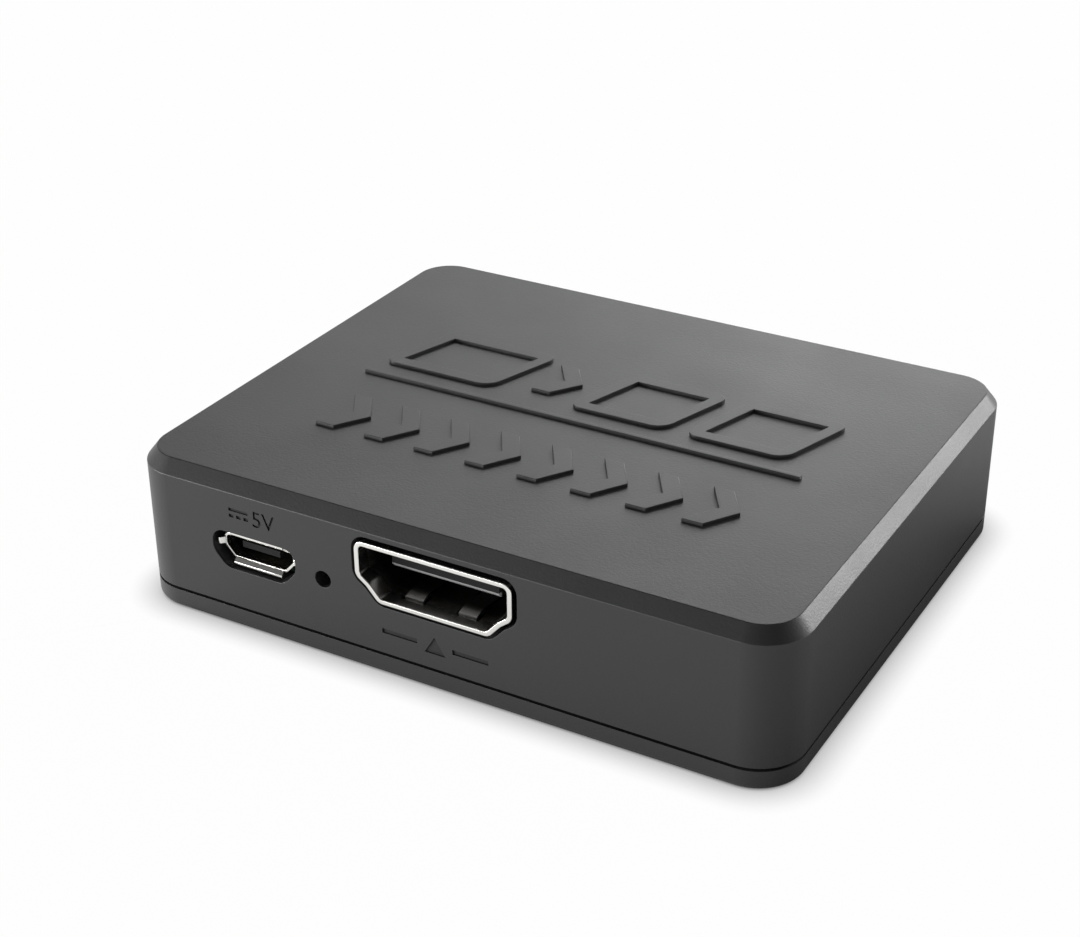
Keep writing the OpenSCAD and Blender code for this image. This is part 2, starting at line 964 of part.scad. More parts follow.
module filter_capacitor_base() {
    w = filter_base.x / 2;
    chip_black()
        on_board(filter_at)
            difference() {
                linear_extrude(filter_base.z)
                    polygon([[-w, -w], [w - filter_corner, -w], [w, filter_corner - w],
                        [w, w - filter_corner], [w - filter_corner, w], [-w, w]]);
                filter_strips();
            }
}

module filter_capacitor_can() {
    color([0.75, 0.76, 0.78])
        on_board(filter_at)
            translate([0, 0, filter_base.z])
                rotate_extrude()
                    polygon([[0, 0], [filter_r, 0], [filter_r, filter_groove_z - filter_groove],
                        [filter_r - filter_groove, filter_groove_z], [filter_r, filter_groove_z + filter_groove],
                        [filter_r, filter_h - filter_edge], [filter_r - filter_edge, filter_h], [0, filter_h]]);
}

module filter_capacitor_leads() {
    lead_tin()
        on_board(filter_at)
            filter_strips();
}

// Small two-ended parts, long side along Y
module small_core(size) {
    translate([-size.y / 2, small_end - size.x / 2, 0])
        cube([size.y, size.x - 2 * small_end, size.z]);
}

module small_ends(size) {
    for (s = sides)
        translate([-size.y / 2, s * (size.x - small_end) / 2 - small_end / 2, 0])
            cube([size.y, small_end, size.z]);
}

module capacitors() {
    color([0.62, 0.5, 0.36])
        for (p = capacitor_spots)
            on_board(p)
                small_core(small_cap_size);
}

module capacitor_ends() {
    lead_tin()
        for (p = capacitor_spots)
            on_board(p)
                small_ends(small_cap_size);
}

module resistors() {
    chip_black()
        for (p = resistor_spots)
            on_board(p)
                small_core(small_res_size);
}

module resistor_ends() {
    lead_tin()
        for (p = resistor_spots)
            on_board(p)
                small_ends(small_res_size);
}

// Surge arrays behind the sockets
module surge_arrays() {
    chip_black()
        for (p = surge_places)
            on_board(p)
                translate([-surge_size.x / 2, -surge_size.y / 2, 0])
                    cube(surge_size);
}

module surge_array_leads() {
    lead_tin()
        for (p = surge_places, k = [0 : surge_pins - 1], s = sides)
            on_board(p)
                translate([(k - (surge_pins - 1) / 2) * surge_pitch - surge_pin.x / 2,
                    s * (surge_size.y + surge_pin.y) / 2 - surge_pin.y / 2, 0])
                    cube(surge_pin);
}

top_shell();
bottom_cover();
circuit_board();
video_in_shell();
video_in_insulator();
video_in_contacts();
video_out_1_shell();
video_out_1_insulator();
video_out_1_contacts();
video_out_2_shell();
video_out_2_insulator();
video_out_2_contacts();
power_shell();
power_insulator();
power_contacts();
lamp_body();
lamp_lens();
lamp_leads();
splitter_chip();
splitter_chip_leads();
memory_chip();
memory_chip_leads();
crystal_can();
crystal_base();
crystal_leads();
regulator();
regulator_leads();
core_regulator();
core_regulator_leads();
inductor();
inductor_terminals();
filter_capacitor_can();
filter_capacitor_base();
filter_capacitor_leads();
capacitors();
capacitor_ends();
resistors();
resistor_ends();
surge_arrays();
surge_array_leads();
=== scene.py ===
"""Looks of a small video splitter, one input and two outputs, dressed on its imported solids."""

import logging
import math
from collections.abc import Callable, Mapping, Sequence
from dataclasses import dataclass
from enum import Enum
from functools import cached_property
from typing import Any

import bpy
from mathutils import Matrix, Vector


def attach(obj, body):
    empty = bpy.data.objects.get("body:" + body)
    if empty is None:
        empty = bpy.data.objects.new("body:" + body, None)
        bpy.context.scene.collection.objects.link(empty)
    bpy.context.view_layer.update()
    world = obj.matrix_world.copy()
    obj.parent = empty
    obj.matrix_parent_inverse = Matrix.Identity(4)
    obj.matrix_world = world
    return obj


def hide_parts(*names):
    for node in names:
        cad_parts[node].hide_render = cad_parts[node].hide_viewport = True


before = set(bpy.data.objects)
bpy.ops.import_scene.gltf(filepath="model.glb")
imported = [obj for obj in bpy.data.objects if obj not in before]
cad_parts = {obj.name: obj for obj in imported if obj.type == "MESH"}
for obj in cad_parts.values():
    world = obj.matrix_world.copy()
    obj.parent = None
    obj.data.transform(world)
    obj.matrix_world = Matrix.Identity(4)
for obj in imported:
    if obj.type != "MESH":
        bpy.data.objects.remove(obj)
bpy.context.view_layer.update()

LOG = logging.getLogger("splitter")
MM = 0.001
EPS = 0.01 * MM  # places closer than this are one place
SKIN = 0.01 * MM  # sheet left over a root that is let into it
OVER = 1.0 * MM  # how far a cutter reaches past what it cuts
ROUND = 48  # flats round a bar
FLAT = 0.99  # a face looks along an axis where its normal's share of it is over this
BODY = "root"

Obj = bpy.types.Object
Mat = bpy.types.Material
Out = bpy.types.NodeSocket
Vec = tuple[float, float, float]
Point = tuple[float, float]


class Part(Enum):
    """What a selection is made of."""

    VERT = "VERT"
    EDGE = "EDGE"
    FACE = "FACE"


class Join(Enum):
    """How one solid is put together with another."""

    UNION = "UNION"
    CUT = "DIFFERENCE"


class Axis(Enum):
    """Which way a slicing plane looks."""

    Y = (0, 1, 0)
    Z = (0, 0, 1)


class Face(Enum):
    """Which end wall a mark is on, as the turn from the front wall to it."""

    FRONT = 0.0
    BACK = math.pi


class Bench:
    """Hand tools: short names for the modelling operators."""

    @staticmethod
    def done() -> None:
        """Goes back to object mode."""
        bpy.ops.object.mode_set(mode="OBJECT")

    @staticmethod
    def only(obj: Obj) -> None:
        """Selects one object and nothing else.

        Args:
            obj: The object to work on.
        """
        if bpy.context.object and bpy.context.object.mode != "OBJECT":
            Bench.done()
        bpy.ops.object.select_all(action="DESELECT")
        obj.select_set(True)
        bpy.context.view_layer.objects.active = obj

    @staticmethod
    def fix(obj: Obj) -> None:
        """Moves an object's place, turn and scale into its mesh."""
        Bench.only(obj)
        bpy.ops.object.transform_apply(location=True, rotation=True, scale=True)

    @staticmethod
    def added(name: str) -> Obj:
        """Names the object that an operator has just made.

        Args:
            name: Its name.

        Returns:
            The object.
        """
        obj = bpy.context.object
        obj.name = obj.data.name = name
        return obj

    @staticmethod
    def block(name: str, low: Vec, high: Vec) -> Obj:
        """Adds a block between two corners.

        Args:
            name: Name of the new object.
            low: Lowest corner.
            high: Highest corner.

        Returns:
            The block.
        """
        bpy.ops.object.select_all(action="DESELECT")
        bpy.ops.mesh.primitive_cube_add(size=1.0, location=[(a + b) / 2 for a, b in zip(low, high)])
        obj = Bench.added(name)
        obj.scale = [b - a for a, b in zip(low, high)]
        Bench.fix(obj)
        return obj

    @staticmethod
    def rod(name: str, base: Vec, radius: float, length: float, lying: bool = False) -> Obj:
        """Adds a round bar.

        Args:
            name: Name of the new object.
            base: Middle of its low end, or of its front end when lying.
            radius: Its radius.
            length: Its length.
            lying: True to run along +Y and not along +Z.

        Returns:
            The bar.
        """
        way = Vector((0, 1, 0) if lying else (0, 0, 1))
        bpy.ops.object.select_all(action="DESELECT")
        bpy.ops.mesh.primitive_cylinder_add(
            vertices=ROUND, radius=radius, depth=length, location=Vector(base) + way * length / 2,
            rotation=(-math.pi / 2 if lying else 0, 0, 0))
        obj = Bench.added(name)
        Bench.fix(obj)
        return obj

    @staticmethod
    def pick(obj: Obj, part: Part, test: Callable[..., bool]) -> None:
        """Selects parts of a mesh by their place and leaves it in edit mode.

        Args:
            obj: The object.
            part: What to select.
            test: Takes a vertex's place, an edge's two ends, or a face's middle and normal.
        """
        Bench.only(obj)
        bpy.ops.object.mode_set(mode="EDIT")
        bpy.ops.mesh.select_mode(type=part.value)
        bpy.ops.mesh.select_all(action="DESELECT")
        Bench.done()
        mesh = obj.data
        if part is Part.VERT:
            for v in mesh.vertices:
                v.select = test(v.co)
        elif part is Part.EDGE:
            for e in mesh.edges:
                e.select = test(*(mesh.vertices[i].co for i in e.vertices))
        else:
            for f in mesh.polygons:
                f.select = test(f.center, f.normal)
        bpy.ops.object.mode_set(mode="EDIT")

    @staticmethod
    def pick_all(obj: Obj) -> None:
        """Selects a whole mesh and leaves it in edit mode.

        Args:
            obj: The object.
        """
        Bench.only(obj)
        bpy.ops.object.mode_set(mode="EDIT")
        bpy.ops.mesh.select_all(action="SELECT")

    @staticmethod
    def spot(co: Vector) -> Vec:
        """Gives a place rounded so that it can be looked up."""
        return tuple(round(c, 8) for c in co)

    @staticmethod
    def picked(obj: Obj) -> set[Vec]:
        """Lists the places of the selected vertices and stays in edit mode.

        Args:
            obj: The object, in edit mode.

        Returns:
            The places.
        """
        Bench.done()
        places = {Bench.spot(v.co) for v in obj.data.vertices if v.select}
        bpy.ops.object.mode_set(mode="EDIT")
        return places

    @staticmethod
    def pick_sharp(obj: Obj, test: Callable[[Vector, Vector], bool], angle: float = 0.6) -> None:
        """Selects folded edges by their place and leaves the mesh in edit mode.

        Args:
            obj: The object.
            test: Takes an edge's two ends.
            angle: Smallest fold that counts, in radians.
        """
        mesh = obj.data
        sides: dict[tuple[int, int], list[Vector]] = {}
        for f in mesh.polygons:
            for key in f.edge_keys:
                sides.setdefault(key, []).append(f.normal)
        folded = {k for k, n in sides.items() if len(n) == 2 and n[0].angle(n[1], 0.0) > angle}
        places = {tuple(sorted(Bench.spot(mesh.vertices[i].co) for i in k)) for k in folded}

        def sharp(a: Vector, b: Vector) -> bool:
            """Tells a folded edge in the asked place."""
            return tuple(sorted(Bench.spot(v) for v in (a, b))) in places and test(a, b)

        Bench.pick(obj, Part.EDGE, sharp)

    @staticmethod
    def bevel(width: float, segments: int) -> None:
        """Bevels the selected edges and goes back to object mode.

        Args:
            width: Distance from the edge.
            segments: Number of strips.
        """
        bpy.ops.mesh.bevel(offset_type="OFFSET", offset=width, segments=segments, profile=0.5,
                           affect="EDGES", clamp_overlap=False)
        Bench.done()

    @staticmethod
    def move(by: Vec) -> None:
        """Moves what is selected and goes back to object mode."""
        bpy.ops.transform.translate(value=by)
        Bench.done()

    @staticmethod
    def spread(by: Vec, middle: Vec) -> None:
        """Scales what is selected about a point and goes back to object mode."""
        bpy.ops.transform.resize(value=by, center_override=middle)
        Bench.done()

    @staticmethod
    def weld(obj: Obj, within: float) -> None:
        """Merges the vertices of a mesh that lie together.

        Args:
            obj: The object.
            within: Largest distance that is merged.
        """
        Bench.pick_all(obj)
        bpy.ops.mesh.remove_doubles(threshold=within)
        Bench.done()

    @staticmethod
    def slice(obj: Obj, axis: Axis, at: float) -> None:
        """Adds a loop of edges where a plane crosses a mesh.

        Args:
            obj: The object.
            axis: The plane's normal.
            at: The plane's place along it.
        """
        normal = Vector(axis.value)
        Bench.pick_all(obj)
        bpy.ops.mesh.bisect(plane_co=normal * at, plane_no=normal, use_fill=False, clear_inner=False,
                            clear_outer=False, threshold=EPS / 100)
        Bench.done()

    @staticmethod
    def step(thickness: float, rise: float) -> None:
        """Insets the selected face, pushes the new face up or down and keeps it selected."""
        bpy.ops.mesh.inset(thickness=thickness, use_even_offset=True)
        bpy.ops.mesh.extrude_region_move(TRANSFORM_OT_translate={"value": (0, 0, rise)})

    @staticmethod
    def combine(obj: Obj, tool: Obj, how: Join, fine: bool = False) -> None:
        """Joins a solid to another or cuts it away, and uses it up.

        Args:
            obj: The solid that stays.
            tool: The solid that is used up.
            how: Union or cut.
            fine: True for thin folded strips, which the plain way can lose.
        """
        Bench.only(obj)
        bpy.ops.object.modifier_add(type="BOOLEAN")
        mod = obj.modifiers[-1]
        mod.operation = how.value
        mod.solver = "EXACT"
        mod.use_self = fine
        mod.object = tool
        bpy.ops.object.modifier_apply(modifier=mod.name)
        bpy.data.objects.remove(tool)

    @staticmethod
    def gather(pieces: Sequence[Obj], name: str) -> Obj:
        """Joins loose pieces into one object.

        Args:
            pieces: The pieces, which don't touch.
            name: Name of the result.

        Returns:
            The joined object.
        """
        Bench.only(pieces[0])
        for p in pieces:
            p.select_set(True)
        bpy.ops.object.join()
        return Bench.added(name)

    @staticmethod
    def place(obj: Obj, turn: float = 0.0, shift: Vec = (0, 0, 0)) -> Obj:
        """Turns an object about Z, shifts it and keeps both in its mesh.

        Args:
            obj: The object.
            turn: Angle about Z in radians.
            shift: Shift after the turn.

        Returns:
            The same object.
        """
        obj.rotation_euler = (0, 0, turn)
        obj.location = shift
        Bench.fix(obj)
        return obj

    @staticmethod
    def deal(model: Obj, places: Sequence[tuple[str, float, Vec]]) -> list[Obj]:
        """Copies a model to all its places, each copy with its own mesh, and puts the model away.

        Args:
            model: The object to copy.
            places: Name, turn about Z and shift of each copy.

        Returns:
            The copies.
        """
        copies = []
        for name, turn, shift in places:
            twin = model.copy()
            twin.data = model.data.copy()
            twin.name = twin.data.name = name
            bpy.context.collection.objects.link(twin)
            copies.append(Bench.place(twin, turn, shift))
        bpy.data.objects.remove(model)
        return copies

    @staticmethod
    def smooth(obj: Obj, angle: float = 35.0) -> None:
        """Shades curves smooth and keeps flats flat.

        Args:
            obj: The object.
            angle: Largest fold in degrees that is shaded smooth.
        """
        Bench.only(obj)
        bpy.ops.object.shade_smooth_by_angle(angle=math.radians(angle))
        bpy.ops.object.modifier_add(type="WEIGHTED_NORMAL")
        mod = obj.modifiers[-1]
        mod.keep_sharp = True
        mod.weight = 100
        bpy.ops.object.modifier_apply(modifier=mod.name)


class Sock:
    """A number on a surface: wraps a node's output so that Python's operators add Math nodes."""

    def __init__(self, graph: "Graph", socket: Out) -> None:
        """Keeps the graph and the output."""
        self.graph = graph
        self.socket = socket

    def math(self, operation: str, *values: "Sock | float") -> "Sock":
        """Adds one Math node.

        Args:
            operation: The node's operation.
            values: Its inputs in order.

        Returns:
            The node's output.
        """
        node = self.graph.node("ShaderNodeMath", {"operation": operation}, dict(enumerate(values)))
        return Sock(self.graph, node.outputs[0])

    def __add__(self, other: "Sock | float") -> "Sock":
        """Adds a value."""
        return self.math("ADD", self, other)

    def __radd__(self, other: float) -> "Sock":
        """Is added to a value."""
        return self.math("ADD", other, self)

    def __sub__(self, other: "Sock | float") -> "Sock":
        """Takes a value away."""
        return self.math("SUBTRACT", self, other)

    def __rsub__(self, other: float) -> "Sock":
        """Is taken away from a value."""
        return self.math("SUBTRACT", other, self)

    def __mul__(self, other: "Sock | float") -> "Sock":
        """Multiplies by a value."""
        return self.math("MULTIPLY", self, other)

    def __rmul__(self, other: float) -> "Sock":
        """Multiplies a value."""
        return self.math("MULTIPLY", other, self)

    def __pow__(self, other: float) -> "Sock":
        """Raises to a power."""
        return self.math("POWER", self, other)

    def __abs__(self) -> "Sock":
        """Drops the sign."""
        return self.math("ABSOLUTE", self)

    def above(self, level: float) -> "Sock":
        """Gives 1 where the number is over a level and 0 elsewhere."""
        return self.math("GREATER_THAN", self, level)

    def between(self, low: float, high: float) -> "Sock":
        """Gives 1 where the number is between two levels and 0 elsewhere."""
        return self.above(low) * (1 - self.above(high))

    def climb(self, low: float, high: float) -> "Sock":
        """Gives a smooth way from 0 at one level to 1 at another.

        Args:
            low: Where it is 0.
            high: Where it is 1.

        Returns:
            The share of the way.
        """
        node = self.graph.node("ShaderNodeMapRange", {"interpolation_type": "SMOOTHSTEP"},
                               {"Value": self, "From Min": low, "From Max": high})
        return Sock(self.graph, node.outputs[0])


class Graph:
    """The node tree of one material or of the world."""

    def __init__(self, owner: Mat | bpy.types.World) -> None:
        """Empties the owner's tree.

        Args:
            owner: The material or the world.
        """
        owner.use_nodes = True
        self.owner = owner
        self.tree = owner.node_tree
        self.tree.nodes.clear()

    @classmethod
    def paint(cls, name: str) -> "Graph":
        """Starts an empty material."""
        return cls(bpy.data.materials.new(name))

    @cached_property
    def place(self) -> Out:
        """Gives the place on the piece."""
        return self.node("ShaderNodeTexCoord", {}, {}).outputs["Object"]

    @cached_property
    def axes(self) -> tuple[Sock, ...]:
        """Gives the place on the piece along X, Y and Z."""
        return self.split(self.place)

    def split(self, vector: Out) -> tuple[Sock, ...]:
        """Gives the three numbers of a vector."""
        return tuple(Sock(self, out) for out in self.node("ShaderNodeSeparateXYZ", {}, {0: vector}).outputs)

    def node(self, kind: str, settings: Mapping[str, Any], inputs: Mapping[str | int, Any]) -> bpy.types.Node:
        """Adds a node.

        Args:
            kind: The node's type.
            settings: Properties to set first.
            inputs: Values or links of its sockets, by name or number.

        Returns:
            The node.
        """
        node = self.tree.nodes.new(kind)
        for key, value in settings.items():
            setattr(node, key, value)
        for key, value in inputs.items():
            if isinstance(value, Sock):
                value = value.socket
            if isinstance(value, Out):
                self.tree.links.new(value, node.inputs[key])
            else:
                node.inputs[key].default_value = value
        return node

    def noise(self, size: float, detail: float = 3.0, stretch: Vec = (1, 1, 1)) -> Sock:
        """Gives cloudy noise from 0 to 1.

        Args:
            size: Size of a cloud in metres.
            detail: Number of finer layers.
            stretch: How much longer the clouds are along each axis.

        Returns:
            The noise.
        """
        mapped = self.node("ShaderNodeMapping", {}, {"Vector": self.place, "Scale": [1 / s for s in stretch]})
        node = self.node("ShaderNodeTexNoise", {},
                         {"Vector": mapped.outputs[0], "Scale": 1 / size, "Detail": detail})
        return Sock(self, node.outputs[0])

    def blend(self, factor: Sock, first: Sequence[float] | Out, second: Sequence[float] | Out) -> Out:
        """Mixes two colours.

        Args:
            factor: 0 for the first colour, 1 for the second.
            first: The first colour, or a link to it.
            second: The second colour, or a link to it.

        Returns:
            The mixed colour.
        """
        first, second = (c if isinstance(c, Out) else (*c, 1.0) for c in (first, second))
        return self.node("ShaderNodeMix", {"data_type": "RGBA"}, {0: factor, 6: first, 7: second}).outputs[2]

    def bump(self, height: Sock, distance: float) -> Out:
        """Turns a height from 0 to 1 into a normal, where 1 is the given distance."""
        node = self.node("ShaderNodeBump", {}, {"Strength": 1.0, "Distance": distance, "Height": height})
        return node.outputs[0]

    def surface(self, inputs: Mapping[str, Any]) -> Mat:
        """Closes the tree with one surface shader.

        Args:
            inputs: Values or links of the shader's sockets.

        Returns:
            The material.
        """
        shader = self.node("ShaderNodeBsdfPrincipled", {}, inputs)
        self.node("ShaderNodeOutputMaterial", {}, {"Surface": shader.outputs[0]})
        return self.owner


def around(colour: Sequence[float], share: float) -> tuple[Vec, Vec]:
    """Gives a darker and a paler neighbour of a colour, each a share away from it."""
    return tuple(c * (1 - share) for c in colour), tuple(min(c * (1 + share), 1.0) for c in colour)


@dataclass(frozen=True)
class Finish:
    """A finish, with the slot of the record that it stands for."""

    name: str
    slot: str
    colour: Vec

    def make(self) -> Mat:
        """Builds the material."""
        raise NotImplementedError

    def over(self, g: Graph, colour: Out, rough: Sock) -> tuple[Out, Sock]:
        """Gives the colour and roughness with paint, a painted highlight or painted shade on top; a plain
        finish has none.
        """
        return colour, rough


@dataclass(frozen=True)
class Moulding(Finish):
    """Moulded plastic with a fine spark-eroded grain."""

    roughness: float
    grain: float = 0.2 * MM
    grain_depth: float = 0.012 * MM
    cloud: float = 9.0 * MM
    cloudy: float = 0.5
    uneven: Point = (0.1, 0.08)
    vary: float = 0.06
    specular: float = 0.5

    def make(self) -> Mat:
        """Builds the material.

        Returns:
            The material.
        """
        g = Graph.paint(self.name)
        grain, cloud = g.noise(self.grain, 2.0), g.noise(self.cloud, 4.0)
        plain = g.blend(grain * (1 - self.cloudy) + cloud * self.cloudy, *around(self.colour, self.vary))
        rough = self.roughness + (cloud - 0.5) * self.uneven[0] + (grain - 0.5) * self.uneven[1]
        colour, rough = self.over(g, plain, rough)
        return g.surface({"Base Color": colour, "Roughness": rough, "Specular IOR Level": self.specular,
                          "Normal": g.bump(grain, self.grain_depth)})


@dataclass(frozen=True)
class CaseMoulding(Moulding):
    """Case plastic whose sunk marks on the end walls are filled with a darker paint."""

    paint: Vec = (0.010, 0.010, 0.011)
    paint_dull: float = 0.2
    wall: float = 25.0 * MM
    deep: Point = (0.05 * MM, 0.25 * MM)
    half_width: float = 25.5 * MM
    top: float = 13.0 * MM

    def over(self, g: Graph, colour: Out, rough: Sock) -> tuple[Out, Sock]:
        """Fills the sunk marks with paint.

        Args:
            g: The material's tree.
            colour: Colour of the plastic.
            rough: Roughness of the plastic.

        Returns:
            The colour and roughness with the paint.
        """
        x, y, z = g.axes
        filled = (abs(y).between(self.wall - self.deep[1], self.wall - self.deep[0])
                  * (1 - abs(x).above(self.half_width)) * (1 - z.above(self.top)))
        return g.blend(filled, colour, self.paint), rough + filled * self.paint_dull


@dataclass(frozen=True)
class TongueMoulding(Moulding):
    """Black socket plastic with a pale painted highlight along the lower front edge of its tongues."""

    cloudy: float = 0.0
    uneven: Point = (0.0, 0.1)
    # Colour of the painted highlight on the tongue tips.
    highlight_colour: Vec = (0.5, 0.5, 0.5)
    highlight_gloss: float = 0.2
    highlight_patch: float = 0.8 * MM
    highlight_share: Point = (0.6, 0.6)
    highlight_y: Point = (22.7 * MM, 23.2 * MM)
    highlight_z: Point = (9.3 * MM, 9.86 * MM)

    def over(self, g: Graph, colour: Out, rough: Sock) -> tuple[Out, Sock]:
        """Paints a pale highlight along the lower front edge of the tongues.

        Args:
            g: The material's tree.
            colour: Colour of the plastic.
            rough: Roughness of the plastic.

        Returns:
            The colour and roughness with the painted highlight.
        """
        _, y, z = g.axes
        least, most = self.highlight_share
        # Painted highlight: a patchy pale, glossier band on the lower front edge of each tongue tip.
        edge = (abs(y).between(*self.highlight_y) * z.between(*self.highlight_z)
                * (least + g.noise(self.highlight_patch, 3.0) * most))
        return g.blend(edge, colour, self.highlight_colour), rough - edge * self.highlight_gloss


@dataclass(frozen=True)
class Plating(Finish):
    """Plated sheet metal with faint drawing lines and dull patches."""

    roughness: float
    streak: Vec = (0.06, 1.0, 0.06)
    streak_size: float = 1.2 * MM
    streak_depth: float = 0.0012 * MM
    patch: float = 2.5 * MM
    patchy: float = 0.6
    uneven: Point = (0.12, 0.06)
    vary: float = 0.07

    def make(self) -> Mat:
        """Builds the material.

        Returns:
            The material.
        """
        g = Graph.paint(self.name)
        lines, patch = g.noise(self.streak_size, 3.0, self.streak), g.noise(self.patch, 3.0)
        plain = g.blend(patch * self.patchy + lines * (1 - self.patchy), *around(self.colour, self.vary))
        rough = self.roughness + (patch - 0.5) * self.uneven[0] + (lines - 0.5) * self.uneven[1]
        colour, rough = self.over(g, plain, rough)
        return g.surface({"Base Color": colour, "Metallic": 1.0, "Roughness": rough,
                          "Normal": g.bump(lines, self.streak_depth)})


@dataclass(frozen=True)
class SocketPlating(Plating):
    """Plated socket sheet in its own plating colour at the mouth, with painted shade further in."""

    # Colour of the painted shade deep inside the socket.
    dull: Vec = (0.11, 0.107, 0.103)
    shaded_rough: float = 0.16
    unshaded_from: float = 24.3 * MM
    shaded_from: float = 22.4 * MM

    def over(self, g: Graph, colour: Out, rough: Sock) -> tuple[Out, Sock]:
        """Paints shade on the plating away from the mouth and makes it rougher there.

        Args:
            g: The material's tree.
            colour: Colour of the bright plating.
            rough: Roughness of the bright plating.

        Returns:
            The colour and roughness with the painted shade further in.
        """
        # Painted shade: the plating darkens from the mouth inwards, where the inside of the socket lies in
        # shade.
        unshaded = abs(g.axes[1]).climb(self.shaded_from, self.unshaded_from)
        return g.blend(unshaded, self.dull, colour), rough + (1 - unshaded) * self.shaded_rough


@dataclass(frozen=True)
class Lacquer(Finish):
    """Green board lacquer over copper tracks and glass weave."""

    track: Vec
    pitch: float = 1.1 * MM
    weave: float = 0.35 * MM
    weave_share: float = 0.2
    depth: float = 0.02 * MM
    roughness: float = 0.32
    uneven: float = 0.15
    coat: float = 0.25

    def make(self) -> Mat:
        """Builds the material.

        Returns:
            The material.
        """
        g = Graph.paint(self.name)
        black, white = (0, 0, 0, 1), (1, 1, 1, 1)
        bricks = g.node("ShaderNodeTexBrick", {"offset": 0.37, "squash": 1.0}, {
            "Vector": g.place, "Scale": 1 / (4 * self.pitch), "Mortar Size": 0.055, "Mortar Smooth": 0.1,
            "Brick Width": 1.9, "Row Height": 0.3, "Color1": black, "Color2": black, "Mortar": white})
        weave = g.noise(self.weave, 2.0)
        height = Sock(g, bricks.outputs["Fac"]) * (1 - self.weave_share) + weave * self.weave_share
        return g.surface({
            "Base Color": g.blend(height, self.colour, self.track),
            "Roughness": self.roughness + (weave - 0.5) * self.uneven,
            "Coat Weight": self.coat,
            "Normal": g.bump(height, self.depth)})


@dataclass(frozen=True)
class Clear(Finish):
    """Clear cast resin with a faint haze."""

    haze: float = 0.4 * MM
    vary: float = 0.05
    roughness: float = 0.08
    haze_rough: float = 0.12
    clearness: float = 0.6
    ior: float = 1.52

    def make(self) -> Mat:
        """Builds the material.

        Returns:
            The material.
        """
        g = Graph.paint(self.name)
        haze = g.noise(self.haze, 3.0)
        return g.surface({
            "Base Color": g.blend(haze, *around(self.colour, self.vary)),
            "Roughness": self.roughness + haze * self.haze_rough,
            "Transmission Weight": self.clearness,
            "IOR": self.ior})


CASE = CaseMoulding("charcoal_moulding", "case_plastic", (0.032, 0.032, 0.0327), 0.42)
SOCKET_BLACK = TongueMoulding("socket_moulding", "socket_plastic", (0.008, 0.008, 0.008), 0.6,
                              grain_depth=0.003 * MM, specular=0.22)
CHIP_EPOXY = Moulding("chip_epoxy", "chip_plastic", (0.022, 0.022, 0.024), 0.6, grain=0.09 * MM)
LAMP_WHITE = Moulding("lamp_moulding", "lamp_white", (0.62, 0.62, 0.59), 0.4,
                      grain_depth=0.002 * MM, vary=0.03)
FERRITE = Moulding("ferrite_block", "ferrite", (0.06, 0.06, 0.065), 0.7, grain=0.3 * MM,
                   grain_depth=0.02 * MM, vary=0.18)
TAN_CERAMIC = Moulding("tan_ceramic", "capacitor_ceramic", (0.36, 0.24, 0.13), 0.45, vary=0.12)
BLACK_GLAZE = Moulding("black_glaze", "resistor_glaze", (0.02, 0.02, 0.02), 0.2, vary=0.2)
NICKEL = SocketPlating("bright_nickel", "socket_metal", (0.80, 0.79, 0.76), 0.24)
GOLD = Plating("contact_gilding", "contact_gold", (0.83, 0.62, 0.25), 0.22)
TIN = Plating("lead_tinning", "lead_tin", (0.62, 0.62, 0.63), 0.36)
CAN_STEEL = Plating("drawn_can", "can_metal", (0.68, 0.68, 0.67), 0.3, streak=(1.0, 1.0, 0.1))
CAN_ALUMINIUM = Plating("drawn_aluminium", "can_aluminium", (0.72, 0.73, 0.75), 0.34, streak=(1.0, 1.0, 0.1))
BOARD = Lacquer("board_lacquer", "board_laminate", (0.006, 0.024, 0.012), (0.02, 0.065, 0.03))
LENS = Clear("lamp_resin", "lamp_clear", (0.30, 0.34, 0.40))


class Wardrobe:
    """Makes each finish once and puts it on pieces."""

    def __init__(self) -> None:
        """Starts with no material made."""
        self.made: dict[str, Mat] = {}

    def put(self, obj: Obj, finish: Finish) -> None:
        """Gives an object one finish all over.

        Args:
            obj: A new piece or a CAD node.
            finish: What it is finished with.
        """
        if finish.name not in self.made:
            self.made[finish.name] = finish.make()
        obj.data.materials.clear()
        obj.data.materials.append(self.made[finish.name])

    def dress(self, obj: Obj, finish: Finish, node: str) -> None:
        """Shades and finishes a new piece that stands for a CAD node.

        Args:
            obj: The new piece.
            finish: What it is finished with.
            node: The node that it replaces.
        """
        Bench.smooth(obj)
        self.put(obj, finish)
        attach(obj, BODY)
        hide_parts(node)
        LOG.info("%s stands for %s, %d faces", obj.name, node, len(obj.data.polygons))


